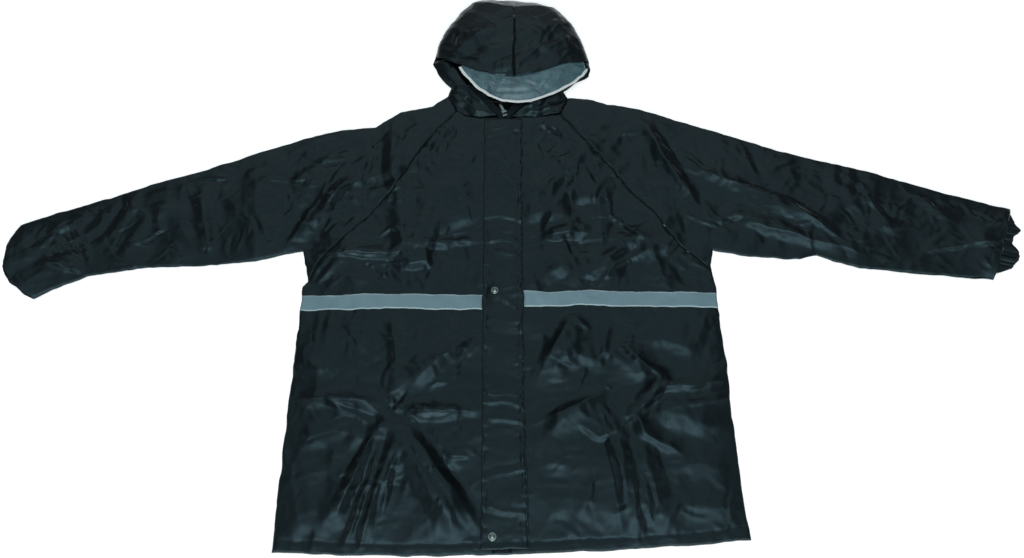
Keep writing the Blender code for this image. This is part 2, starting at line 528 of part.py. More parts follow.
def add_cheek(side, collar_top, edge, brim_corner, sign, look):
    """The hood's side below the brim: rows climb from the collar's top edge to the brim."""
    x, y = brim_corner
    low = [point for point in edge if point[1] < y - CHEEK_EDGE_DROP]
    outer = along([collar_top[-1, :2], *low[1:], (x, y - CHEEK_TOP_DROP)], CHEEK_ROWS)
    face = along([collar_top[0, :2], (x - sign * CHEEK_WIDTH, y - CHEEK_FACE_DROP)], CHEEK_ROWS)
    grid = between(face, outer, COLLAR_COLUMNS)
    grid[0] = collar_top[:, :2]
    share = np.linspace(0, 1, CHEEK_ROWS + 1)[:, None]
    arch = np.cos(math.pi / 2 * np.linspace(0, 1, COLLAR_COLUMNS + 1))[None, :]
    top = UPPER_EDGE_MID + (CHEEK_MID - UPPER_EDGE_MID) * arch
    height = collar_top[None, :, 2] * (1 - share) + top * share
    add_cloth(f"hood_cheek_{side}", step_in(at_height(grid, height), CHEEK_STEP), look)


def visor_edges():
    """The film's upper edge, tucked under the brim, and its free edge, as (x, y, height)."""
    free = along(VISOR_ARC, VISOR_COLUMNS)
    x = free[:, 0] + (HOOD_SEAM_X - free[:, 0]) * VISOR_NARROWER
    y = np.maximum(np.interp(x, *np.array(BRIM, float).T), free[:, 1]) + VISOR_TUCK
    inner = np.stack([x, y, brim_dome(x) - VISOR_BELOW_BRIM], axis=1)
    share = np.abs(np.linspace(-1, 1, len(free))) ** 3
    height = VISOR_EDGE_MID + (inner[:, 2] - VISOR_CORNER_DROP - VISOR_EDGE_MID) * share
    return inner, np.concatenate([free, height[:, None]], axis=1)


def add_visor(film, binding):
    inner, free = visor_edges()
    grid = between(inner, free, VISOR_ROWS)
    grid[..., 2] += VISOR_BELLY * np.sin(math.pi * np.linspace(0, 1, VISOR_ROWS + 1))[None, :]
    add_cloth("visor", grid, film, wall=VISOR_WALL)
    ahead = np.gradient(free, axis=0)
    outward = np.stack([ahead[:, 1], -ahead[:, 0], 0 * ahead[:, 0]], axis=1)
    outward /= np.linalg.norm(outward, axis=1, keepdims=True)
    near = free + outward * SEAM_GAP * 1.5
    add_cloth("visor_binding", between(near, near + outward * BINDING_WIDTH, 1), binding,
              wall=BINDING_WALL)


def add_tape(name, line, look):
    """Reflective tape laid along a line on a front, standing off it by a small gap."""
    middle = along(line, TAPE_COLUMNS)
    up = np.array([0.0, TAPE_WIDTH / 2])
    grid = between(middle - up, middle + up, 2)
    above = (CLOTH + TAPE_WALL) / 2 + LAYER_GAP
    add_cloth(name, upper_height(grid, above), look, TAPE_WALL)


def add_flap(look):
    grid = between(along(FLAP_EDGE, FLAP_ROWS), along(FLAP_SEAM, FLAP_ROWS), FLAP_COLUMNS)
    add_cloth("storm_flap", upper_height(grid, CLOTH + LAYER_GAP), look)


def height_at(x, y, above=0.0):
    return float(upper_height(np.array([[[x, y]]], float), above)[0, 0, 2])


def add_snap(name, x, y, look):
    """A domed snap cap, turned from its profile."""
    base = height_at(x, y, CLOTH + LAYER_GAP) + CLOTH / 2 + SNAP_LIFT
    turns = [2 * math.pi * k / SNAP_SIDES for k in range(SNAP_SIDES)]
    points = [(x + SNAP_RADIUS * r * math.cos(turn), y + SNAP_RADIUS * r * math.sin(turn),
               base + SNAP_HEIGHT * h) for r, h in SNAP_PROFILE for turn in turns]
    faces = [tuple(range(SNAP_SIDES))[::-1]]
    top = (len(SNAP_PROFILE) - 1) * SNAP_SIDES
    for a in range(top):
        b = a + 1 if (a + 1) % SNAP_SIDES else a + 1 - SNAP_SIDES
        faces.append((a, b, b + SNAP_SIDES, a + SNAP_SIDES))
    faces.append(tuple(range(top, top + SNAP_SIDES)))
    add_object(name, points, faces, look)


def box_points(centre, size):
    return [(centre[0] + size[0] * a / 2, centre[1] + size[1] * b / 2, centre[2] + size[2] * c / 2)
            for c in (-1, 1) for b in (-1, 1) for a in (-1, 1)]


BOX_FACES = [(0, 2, 3, 1), (4, 5, 7, 6), (0, 1, 5, 4), (2, 6, 7, 3), (0, 4, 6, 2), (1, 3, 7, 5)]


def boolean(obj, other, operation):
    """Joins or cuts obj with other, which is then hidden from the render."""
    modifier = obj.modifiers.new(operation.lower(), "BOOLEAN")
    modifier.operation = operation
    modifier.object = other
    modifier.solver = "EXACT"
    other.hide_render = True
    other.display_type = "WIRE"


def add_rod(name, centre, radius, length, look, sides=16):
    """A round rod along the slider's cross axis."""
    points = [(centre[0] + end * length / 2, centre[1] + radius * math.cos(2 * math.pi * k / sides),
               centre[2] + radius * math.sin(2 * math.pi * k / sides))
              for end in (-1, 1) for k in range(sides)]
    faces = [tuple(range(sides)), tuple(range(sides, 2 * sides))[::-1]]
    faces += [(k, k + sides, (k + 1) % sides + sides, (k + 1) % sides) for k in range(sides)]
    return add_object(name, turned(points, centre[:2]), faces, look)


def turned(points, centre):
    """Points turned with the slider, about an upright line through it."""
    turn = np.array([[math.cos(SLIDER_TURN), -math.sin(SLIDER_TURN)],
                     [math.sin(SLIDER_TURN), math.cos(SLIDER_TURN)]])
    points = np.array(points, float)
    points[:, :2] = (points[:, :2] - centre) @ turn.T + centre
    return points


def slider_base():
    return height_at(*SLIDER_AT) + CLOTH / 2 + SLIDER_LIFT


def set_origin(obj, point):
    """Puts an object's origin at a point, in millimetres, and leaves its shape in place."""
    point = np.array(point) * MM
    obj.data.transform(Matrix.Translation(-Vector(point)))
    obj.location = point


def pull_axis_height():
    return slider_base() + SLIDER_SIZE[2] + EYE_RADIUS + EYE_LIFT


def add_slider(look):
    """The slider's body, with two lugs and the pin between them."""
    base, axis_z = slider_base(), pull_axis_height()
    x, y = SLIDER_AT
    body = add_object("zip_slider", turned(box_points((x, y, base + SLIDER_SIZE[2] / 2), SLIDER_SIZE),
                                           SLIDER_AT), BOX_FACES, look, False)
    bevel = body.modifiers.new("rounded", "BEVEL")
    bevel.width, bevel.segments = SLIDER_ROUNDING * MM, 2
    lug_low = base + SLIDER_SIZE[2] - LUG_SINK
    lug_height = axis_z + PIN_RADIUS + LUG_OVER_PIN - lug_low
    for k, sign in enumerate((-1, 1)):
        centre = (x + sign * (LUG_APART + LUG_SIZE[0]) / 2, y, lug_low + lug_height / 2)
        lug = add_object(f"lug_{k}", turned(box_points(centre, (*LUG_SIZE, lug_height)), SLIDER_AT),
                         BOX_FACES, look, False)
        boolean(body, lug, "UNION")
    pin = add_rod("pin", (x, y, axis_z), PIN_RADIUS, LUG_APART + LUG_SIZE[0], look)
    boolean(body, pin, "UNION")


def add_pull(look):
    """The pull tab, lying towards the hood, with a round eye that turns on the slider's pin."""
    x, y, z = *SLIDER_AT, pull_axis_height()
    reach = PULL_SIZE[1] - EYE_RADIUS
    box = box_points((x, y + reach / 2 + EYE_BORE, z), (PULL_SIZE[0], reach, PULL_SIZE[2]))
    tab = add_object("zip_pull", turned(box, SLIDER_AT), BOX_FACES, look, False)
    eye = add_rod("eye", (x, y, z), EYE_RADIUS, PULL_SIZE[0] + EYE_WIDER, look, 20)
    boolean(tab, eye, "UNION")
    hole = add_rod("pull_hole", (x, y, z), EYE_BORE, PULL_SIZE[0] + 2, look, 20)
    boolean(tab, hole, "DIFFERENCE")
    set_origin(tab, (x, y, z))


def main():
    for obj in list(bpy.data.objects):
        bpy.data.objects.remove(obj)
    shell = material("coated_polyester", NAVY_BLACK, 0.35)
    tape = material("reflective_tape", TAPE_GREY, 0.4)
    film = material("clear_film", FILM_GREY, 0.2)
    white = material("white_binding", WHITE, 0.5)
    metal = material("plated_snap", STEEL, 0.3, 1.0)
    zip_look = material("zip_nylon", ZIP_BLACK, 0.5)

    add_back(shell)
    closing = ZIP_TAPE + ZIP_SEAM_GAP
    add_front("front_right", SIDE_RIGHT, RAGLAN_RIGHT, NECK_RIGHT, ZIP_X - closing, shell)
    add_front("front_left", SIDE_LEFT, RAGLAN_LEFT, NECK_LEFT, ZIP_X + closing, shell)
    wrist = add_sleeve("right", SLEEVE_RIGHT, RAGLAN_RIGHT, BACK_RAGLAN_TOP_RIGHT, SHOULDER_RIGHT, shell)
    add_cuff("right", *wrist, CUFF_FRILL_RIGHT, shell)
    wrist = add_sleeve("left", SLEEVE_LEFT, RAGLAN_LEFT, BACK_RAGLAN_TOP_LEFT, SHOULDER_LEFT, shell)
    add_cuff("left", *wrist, CUFF_FRILL_LEFT, shell)

    add_zip_tape("right", -1, COLLAR_CORNER_RIGHT, zip_look)
    add_zip_tape("left", 1, COLLAR_CORNER_LEFT, zip_look)
    add_flap(shell)
    for k, (x, y) in enumerate(SNAP_PLACES):
        add_snap(f"snap_{k + 1}", x, y, metal)
    add_tape("tape_right", TAPE_RIGHT_Y, tape)
    add_tape("tape_left", TAPE_LEFT_Y, tape)

    add_collar_back(shell)
    top_right = add_collar_half("right", NECK_RIGHT, SHOULDER_RIGHT, COLLAR_SIDE_RIGHT,
                                COLLAR_CORNER_RIGHT, -1, shell)
    top_left = add_collar_half("left", NECK_LEFT, SHOULDER_LEFT, COLLAR_SIDE_LEFT,
                               COLLAR_CORNER_LEFT, 1, shell)
    add_hood_back(shell)
    add_cloth("hood_crown_right", crown_grid(HOOD_EDGE_RIGHT, -1), shell)
    add_cloth("hood_crown_left", crown_grid(HOOD_EDGE_LEFT, 1), shell)
    add_cheek("right", top_right, HOOD_EDGE_RIGHT, BRIM[0], -1, shell)
    add_cheek("left", top_left, HOOD_EDGE_LEFT, BRIM[-1], 1, shell)
    add_visor(film, white)
    add_slider(metal)
    add_pull(metal)


main()
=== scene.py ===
import math

import bpy
import numpy as np
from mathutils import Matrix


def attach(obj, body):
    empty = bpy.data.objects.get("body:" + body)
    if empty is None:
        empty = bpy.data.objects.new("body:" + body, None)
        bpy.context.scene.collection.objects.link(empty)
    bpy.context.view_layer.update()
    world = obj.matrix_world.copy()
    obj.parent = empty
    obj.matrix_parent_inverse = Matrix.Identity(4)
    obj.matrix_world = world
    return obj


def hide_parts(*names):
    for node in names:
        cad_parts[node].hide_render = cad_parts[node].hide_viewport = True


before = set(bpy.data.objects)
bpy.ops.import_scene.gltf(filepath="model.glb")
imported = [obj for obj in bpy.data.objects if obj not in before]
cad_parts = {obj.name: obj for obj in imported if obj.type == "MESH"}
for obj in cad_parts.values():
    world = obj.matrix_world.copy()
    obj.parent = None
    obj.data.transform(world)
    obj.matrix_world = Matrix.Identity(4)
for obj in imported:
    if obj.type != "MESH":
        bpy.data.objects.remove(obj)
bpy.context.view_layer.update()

# ---- Back panel -------------------------------------------------------------------------
# One panel of black polyester taffeta with a thin glossy coating. It lies on the table under
# everything else, pressed flat, so its creases are low. Every table here is in millimetres.
MM = 0.001
WALL = 0.5  # the cloth as drawn; the real one is about 0.25
SEAM_Z = 1.45  # height of the line where the upper and the lower layer meet
ROLL = 3.2  # each layer turns down to that line over this distance
BACK_TOP_Z, BACK_CREASE = 0.75, 0.28
FLOOR_GAP = 0.06  # the lowest that the cloth's underside comes to the table

SIDE_RIGHT = [(-329, -434), (-331, -348), (-332, -182), (-332, -38), (-333, -17), (-326, -6)]
SIDE_LEFT = [(331, -416), (327, -383), (326, -313), (324, -240), (324, -202), (327, -176),
             (325, -102), (324, -38), (325, -17), (323, -4)]
HEM = [(-329, -434), (-175, -439), (0, -437), (132, -431), (264, -423), (331, -416)]
SHOULDER_RIGHT, SHOULDER_LEFT = (-115, 380), (100, 374)
BACK_NECK = [(-80, 370), (-40, 366), (0, 364.5), (36, 366), (72, 370)]
# Each sleeve's stations: (top x, top y, underarm x, underarm y, bulge towards the wrist)
SLEEVE_RIGHT = [
    (-140, 356, -331, 20, 0), (-199, 341, -340, 50, 0), (-240, 307, -364, 45, 0),
    (-300, 300, -414, 32, 0), (-364, 281, -470, 26, 0), (-443, 248, -530, 22, 0),
    (-521, 216, -592, 19, 0), (-600, 187, -640, 11, 4), (-673, 157, -680, 4, 8),
    (-740, 131, -714, -13, 14), (-785, 113, -740, -29, 26), (-809, 103, -755, -39, 33),
]
SLEEVE_LEFT = [
    (135, 371, 320, 25, 0), (172, 359, 327, 53, 0), (228, 348, 364, 44, 0),
    (283, 325, 415, 38, 0), (338, 303, 466, 35, 0), (392, 283, 494, 43, 0),
    (445, 261, 518, 33, 0), (510, 239, 560, 19, 0), (576, 220, 620, 12, 0),
    (628, 203, 660, 8, 0), (679, 184, 692, 5, 0), (729, 166, 722, 1, 2),
    (785, 148, 750, -1, 2), (830, 133, 768, -3, 2),
]


def at_shares(line, shares):
    """Points at the given shares of a line's length: linear between its own points."""
    line = np.array(line, float)
    run = np.concatenate([[0], np.cumsum(np.linalg.norm(np.diff(line, axis=0), axis=1))])
    at = np.asarray(shares) * run[-1]
    return np.stack([np.interp(at, run, line[:, k]) for k in range(line.shape[1])], axis=1)


ROLL_STEPS = (0.5, 1.2, 2.1)  # extra rows at a turned edge, so that the turn is round


def steps(length, step, edges=(0, 0)):
    """Shares from 0 to 1, even steps apart, with closer ones at each end that has an edge."""
    shares = np.linspace(0, 1, max(2, round(length / step) + 1))
    close = np.array(ROLL_STEPS) / length
    return np.unique(np.concatenate([shares, *[close] * edges[0], *[1 - close] * edges[1]]))


def coons(left, right, low, high, rows, columns):
    """Grid between four edges: the two ruled surfaces added, less the corners' blend."""
    t, s = rows[:, None, None], columns[None, :, None]
    left, right = at_shares(left, rows)[:, None], at_shares(right, rows)[:, None]
    low, high = at_shares(low, columns)[None], at_shares(high, columns)[None]
    corners = ((1 - t) * ((1 - s) * left[0, 0] + s * right[0, 0])
               + t * ((1 - s) * left[-1, 0] + s * right[-1, 0]))
    return (1 - s) * left + s * right + (1 - t) * low + t * high - corners


def line_distance(x, y, line):
    """Distance from a line of points, length along it to the nearest place, and side (+ is left)."""
    x, y, line = np.asarray(x, float), np.asarray(y, float), np.array(line, float)
    best, along, side, run = np.full(x.shape, np.inf), np.zeros(x.shape), np.ones(x.shape), 0.0
    for (ax, ay), (bx, by) in zip(line[:-1], line[1:]):
        wx, wy = bx - ax, by - ay
        size = math.hypot(wx, wy)
        rx, ry = x - ax, y - ay
        t = np.clip((rx * wx + ry * wy) / size ** 2, 0, 1)
        off = np.hypot(rx - t * wx, ry - t * wy)
        near = off < best
        best = np.where(near, off, best)
        along = np.where(near, run + t * size, along)
        side = np.where(near, np.sign(wx * ry - wy * rx), side)
        run += size
    return best, along, side, run


OUTLINE = [
    [SHOULDER_RIGHT, *[row[:2] for row in SLEEVE_RIGHT]],
    [SHOULDER_LEFT, *[row[:2] for row in SLEEVE_LEFT]],
    [*[row[2:4] for row in SLEEVE_RIGHT[::-1]], *SIDE_RIGHT[::-1], *HEM[1:-1], *SIDE_LEFT,
     *[row[2:4] for row in SLEEVE_LEFT]],
]


def edge_distance(x, y):
    """Distance from the jacket's outline, where its two layers meet."""
    return np.minimum.reduce([line_distance(x, y, line)[0] for line in OUTLINE])


def rolled(distance):
    """0 on the outline and 1 past the turned edge, in a quarter circle."""
    return np.sqrt(1 - (1 - np.clip(distance / ROLL, 0, 1)) ** 2)


LATTICE = 64  # cells after which the noise repeats


def noise(x, y, cell, seed):
    """Smooth noise from -1 to 1: random values on a square lattice, blended by the quintic step
    6 f^5 - 15 f^4 + 10 f^3."""
    lattice = np.random.default_rng(seed).uniform(-1, 1, (LATTICE, LATTICE))
    u, v = np.asarray(x) / cell, np.asarray(y) / cell
    i, j = np.floor(u).astype(int), np.floor(v).astype(int)
    fu, fv = ((f * f * f * (f * (f * 6 - 15) + 10)) for f in (u - i, v - j))
    a, b, c, d = (lattice[(i + p) % LATTICE, (j + q) % LATTICE]
                  for p, q in ((0, 0), (1, 0), (0, 1), (1, 1)))
    return (a * (1 - fu) + b * fu) * (1 - fv) + (c * (1 - fu) + d * fu) * fv


CRUMPLES = ((66, 2.0), (33, 1.0), (16, 0.45))  # (mm from crease to crease, rise)
WARP_CELL, WARP, FINE_WARP_CELL, FINE_WARP = 70, 16, 23, 5
CRUMPLE_PATCH, CRUMPLE_LEAST, CRUMPLE_MORE = 120, 0.55, 0.45


def crumple(x, y, seed=1):
    """Small crisp creases: three sizes of ridged noise on a warped plane, deeper in patches."""
    wx = x + WARP * noise(x, y, WARP_CELL, seed) + FINE_WARP * noise(x, y, FINE_WARP_CELL, seed + 20)
    wy = y + WARP * noise(x, y, WARP_CELL, seed + 1) + FINE_WARP * noise(x, y, FINE_WARP_CELL, seed + 21)
    ridged = sum(rise * (0.5 - np.abs(noise(wx, wy, cell, seed + 2 + k)))
                 for k, (cell, rise) in enumerate(CRUMPLES))
    return ridged * (CRUMPLE_LEAST + CRUMPLE_MORE * noise(x, y, CRUMPLE_PATCH, seed + 9))


# Flat facets between straight creases: (mm from crease to crease and back, turn in degrees, slope)
FACETS = [(128, 18, 0.07), (83, 74, 0.08), (57, 131, 0.08),
          (41, 163, 0.07), (29, 42, 0.06), (21, 101, 0.05)]
UNEVEN, UNEVEN_CELL, PATCH_CELL = 0.9, 2.1, 1.7  # in waves of the facet's own size
PATCH_MIDDLE, PATCH_SWING, PATCH_MOST = 0.15, 1.5, 1.2


def facets(x, y, seed=30):
    """Crumpled cloth as flat facets: triangle waves along six directions, each unevenly spaced
    and fading in and out in patches."""
    total = 0.0
    for k, (wave, turn, slope) in enumerate(FACETS):
        turn = math.radians(turn)
        u = (x * math.cos(turn) + y * math.sin(turn)) / wave
        u = u + UNEVEN * noise(x, y, UNEVEN_CELL * wave, seed + k)
        patch = PATCH_MIDDLE + PATCH_SWING * noise(x, y, PATCH_CELL * wave, seed + 10 + k)
        patch = np.clip(patch, 0, PATCH_MOST)
        total = total + slope * wave / 4 * patch * (4 * np.abs(u - np.floor(u + 0.5)) - 1)
    return total


WANDER, WANDER_CELL, FINE_CELL = 1.2, 21, 9


def wander(x, y):
    """Moves points in the plane by smooth noise, so that edges and seams aren't ruled lines."""
    return (x + WANDER * noise(x, y, WANDER_CELL, 95) + 0.5 * WANDER * noise(x, y, FINE_CELL, 96),
            y + WANDER * noise(x, y, WANDER_CELL, 97) + 0.5 * WANDER * noise(x, y, FINE_CELL, 98))


def put(tree, kind, settings, inputs):
    """Adds one node with its own settings, and sets or links its inputs."""
    made = tree.nodes.new(kind)
    for name, value in settings.items():
        setattr(made, name, value)
    for name, value in inputs.items():
        if isinstance(value, bpy.types.NodeSocket):
            tree.links.new(value, made.inputs[name])
        else:
            made.inputs[name].default_value = value
    return made


def linear(colour):
    """An sRGB hex colour as linear RGBA."""
    parts = [int(colour[k:k + 2], 16) / 255 for k in (1, 3, 5)]
    return (*[p / 12.92 if p <= 0.04045 else ((p + 0.055) / 1.055) ** 2.4 for p in parts], 1)


def material(name, **sockets):
    """A new material and its shader, with the given numbers on the shader's own sockets."""
    made = bpy.data.materials.new(name)
    made.use_nodes = True
    shader = made.node_tree.nodes["Principled BSDF"]
    for socket, value in sockets.items():
        shader.inputs[socket.replace("_", " ")].default_value = value
    return made, made.node_tree, shader


def coated_taffeta(name, dark, light, smooth, rough):
    """Plain-woven polyester with a polyurethane coating: black, with a soft gloss that breaks on
    fine creases and is uneven in patches. The weave is 0.1 mm in life and 0.9 mm here, to show."""
    made, tree, shader = material(name, Specular_IOR_Level=0.5, Sheen_Weight=0.03,
                                  Specular_Tint=linear("#bde9f8"))
    place = put(tree, "ShaderNodeTexCoord", {}, {}).outputs["Object"]
    tone = put(tree, "ShaderNodeTexNoise", {}, {"Vector": place, "Scale": 6.0, "Detail": 4.0})
    colour = put(tree, "ShaderNodeMix", {"data_type": "RGBA"},
                 {0: tone.outputs[0], 6: linear(dark), 7: linear(light)})
    gloss = put(tree, "ShaderNodeTexNoise", {}, {"Vector": place, "Scale": 38.0, "Detail": 3.0})
    dulled = put(tree, "ShaderNodeMapRange", {}, {"Value": gloss.outputs[0], "From Min": 0.3,
                                                  "From Max": 0.7, "To Min": smooth, "To Max": rough})
    creases = put(tree, "ShaderNodeTexNoise", {"noise_type": "RIDGED_MULTIFRACTAL", "normalize": True},
                  {"Vector": place, "Scale": 42.0, "Detail": 2.0, "Distortion": 0.5})
    warp = put(tree, "ShaderNodeTexWave", {"bands_direction": "X"}, {"Vector": place, "Scale": 350.0})
    weft = put(tree, "ShaderNodeTexWave", {"bands_direction": "Y"}, {"Vector": place, "Scale": 350.0})
    weave = put(tree, "ShaderNodeMath", {"operation": "ADD"}, {0: warp.outputs[1], 1: weft.outputs[1]})
    fine = put(tree, "ShaderNodeBump", {}, {"Strength": 0.2, "Distance": 0.00003, "Height": weave.outputs[0]})
    bump = put(tree, "ShaderNodeBump", {}, {"Strength": 0.6, "Distance": 0.0006,
                                            "Height": creases.outputs[0], "Normal": fine.outputs[0]})
    tree.links.new(colour.outputs[2], shader.inputs["Base Color"])
    tree.links.new(dulled.outputs[0], shader.inputs["Roughness"])
    tree.links.new(bump.outputs[0], shader.inputs["Normal"])
    return made


taffeta = coated_taffeta("taffeta_polyurethane_coated", "#060a0c", "#0b1114", 0.25, 0.32)


def mesh_object(name, points, faces, look):
    """An object at the origin from points in millimetres, smooth, in one material."""
    mesh = bpy.data.meshes.new(name)
    mesh.from_pydata((np.asarray(points).reshape(-1, 3) * MM).tolist(), [], faces)
    mesh.polygons.foreach_set("use_smooth", np.ones(len(mesh.polygons), bool))
    mesh.materials.append(look)
    made = bpy.data.objects.new(name, mesh)
    bpy.context.scene.collection.objects.link(made)
    return made


def grid_faces(rows, columns, ring=False):
    """Four-sided faces of a grid; a ring's last column joins its first."""
    index = np.arange(rows * columns).reshape(rows, columns)
    if ring:
        index = np.concatenate([index, index[:, :1]], axis=1)
    corners = [index[:-1, :-1], index[:-1, 1:], index[1:, 1:], index[1:, :-1]]
    return np.stack([c.ravel() for c in corners], axis=1)


def cloth(name, points, look, ring=False, wall=WALL):
    """A cloth piece from a grid of points: its outer face, and a wall set inwards from it."""
    points = np.array(points, float)
    points[..., 0], points[..., 1] = wander(points[..., 0], points[..., 1])
    rows, columns = points.shape[:2]
    faces = grid_faces(rows, columns, ring)
    p = points.reshape(-1, 3)
    a, b, c = p[faces[:, 0]], p[faces[:, 1]], p[faces[:, 2]]
    normal = np.cross(b - a, c - a)
    outward = (a - p.mean(0)) if ring else np.array([0, 0, 1.0])
    if (normal * outward).sum() < 0:
        faces = faces[:, ::-1]
    made = mesh_object(name, p, faces.tolist(), look)
    solid = made.modifiers.new("cloth_wall", "SOLIDIFY")
    solid.thickness, solid.offset = wall * MM, -1
    return made


def stitches(name, lines, look, pitch=3.4, size=(2.2, 0.55, 0.35)):
    """Sewing stitches along lines of 3-D points: one small hipped block each, end to end."""
    centres, ways = [], []
    for line in lines:
        line = np.array(line, float)
        length = np.linalg.norm(np.diff(line, axis=0), axis=1).sum()
        shares = (np.arange(int(length / pitch)) + 0.5) * pitch / length
        centres.append(at_shares(line, shares))
        way = at_shares(line, np.minimum(shares + 0.4 * pitch / length, 1)) - centres[-1]
        ways.append(way / np.maximum(np.linalg.norm(way, axis=1, keepdims=True), 1e-9))
    centre, way = np.concatenate(centres), np.concatenate(ways)
    centre[:, 0], centre[:, 1] = wander(centre[:, 0], centre[:, 1])
    side = np.stack([-way[:, 1], way[:, 0], 0 * way[:, 0]], axis=1)
    side /= np.maximum(np.linalg.norm(side, axis=1, keepdims=True), 1e-9)
    up = np.array([0, 0, 1.0])
    corners = [(-1, -1, 0), (1, -1, 0), (1, 1, 0), (-1, 1, 0), (-0.6, -0.5, 1), (0.6, -0.5, 1),
               (0.6, 0.5, 1), (-0.6, 0.5, 1)]
    points = np.stack([centre + way * (a * size[0] / 2) + side * (b * size[1] / 2) + up * (c * size[2])
                       for a, b, c in corners], axis=1)
    block = np.array([(3, 2, 1, 0), (4, 5, 6, 7), (0, 1, 5, 4), (1, 2, 6, 5), (2, 3, 7, 6), (3, 0, 4, 7)])
    faces = (block[None] + 8 * np.arange(len(centre))[:, None, None]).reshape(-1, 4)
    return mesh_object(name, points, faces.tolist(), look)


back_left = [*SIDE_LEFT, BACK_NECK[-1]]
back_right = [*SIDE_RIGHT, BACK_NECK[0]]
back_grid = coons(back_right, back_left, HEM, BACK_NECK, steps(880, 8), steps(655, 8, (1, 1)))
x, y = back_grid[..., 0], back_grid[..., 1]
z = SEAM_Z + (BACK_TOP_Z + BACK_CREASE * crumple(x, y, 40) - SEAM_Z) * rolled(edge_distance(x, y))
back = cloth("back_panel", np.dstack([x, y, np.maximum(z, WALL + FLOOR_GAP)]), taffeta)
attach(back, "root")
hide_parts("back")

# ---- Fronts -----------------------------------------------------------------------------
# Two panels of the same cloth, sewn to the back along the sides and to the sleeves along the
# raglan seams, with a hem turned up and stitched twice. They keep the creases of their packing.
UPPER_EDGE_MID, LOFT, EDGE_REACH, HALF_CLOTH = 2.3, 2.6, 24.0, 0.6
RAGLAN_RIGHT = [(-326, -6), (-317, 17), (-305, 39), (-274, 74), (-236, 119), (-198, 174),
                (-170, 226), (-143, 281), (-98, 343)]
RAGLAN_LEFT = [(323, -4), (318, 20), (290, 44), (265, 72), (235, 125), (201, 166),
               (157, 232), (127, 272), (84, 334)]
NECK_RIGHT = [(-98, 343), (-84, 332), (-57, 326), (-26, 325)]
NECK_LEFT = [(84, 334), (78, 332), (50, 328), (-2, 325)]
ZIP_X, ZIP_TAPE, ZIP_GAP = -14.0, 11.6, 0.4
HEM_RISE = 2.6
HEM_STITCHES = (4.0, 15.0)  # distance of the two stitch lines from the hem's edge

# Broad folds: (rise, reach to each side, from, to)
FOLDS = [
    (4.0, 16, (-212, 300), (-176, 20)), (3.5, 16, (-180, -60), (-174, -190)),
    (5.0, 12, (-250, 226), (-362, 60)), (3.5, 14, (-310, 45), (-190, 45)),
    (2.4, 12, (-165, 60), (-70, 66)), (3.0, 20, (-165, -190), (-70, -105)),
    (7.0, 20, (-168, -258), (-76, -400)), (5.0, 12, (-185, -240), (-262, -400)),
    (5.0, 12, (-170, -262), (-205, -415)), (4.5, 14, (-150, -225), (-70, -236)),
    (4.5, 14, (-190, -225), (-280, -208)), (6.0, 12, (150, -135), (222, -176)),
    (5.5, 12, (222, -176), (178, -232)), (5.0, 16, (215, -188), (312, -186)),
    (5.5, 14, (150, -235), (168, -405)), (6.0, 16, (178, -235), (216, -400)),
    (5.5, 18, (110, -92), (52, -180)), (5.0, 16, (128, -205), (50, -255)),
    (4.5, 14, (126, 268), (50, 165)), (5.5, 14, (205, 76), (110, -8)),
    (4.5, 14, (45, 72), (105, 92)), (5.5, 12, (228, 318), (292, 170)),
    (4.4, 18, (300, 222), (560, 70)), (5.0, 16, (372, 122), (540, 46)),
    (4.0, 18, (520, 232), (618, 92)), (3.0, 14, (665, 170), (722, 102)),
    (5.0, 12, (-520, 165), (-492, 62)), (4.5, 16, (-418, 120), (-392, 52)),
    (4.5, 16, (-712, 112), (-756, 74)), (4.0, 14, (-745, 30), (-700, 16)),
]
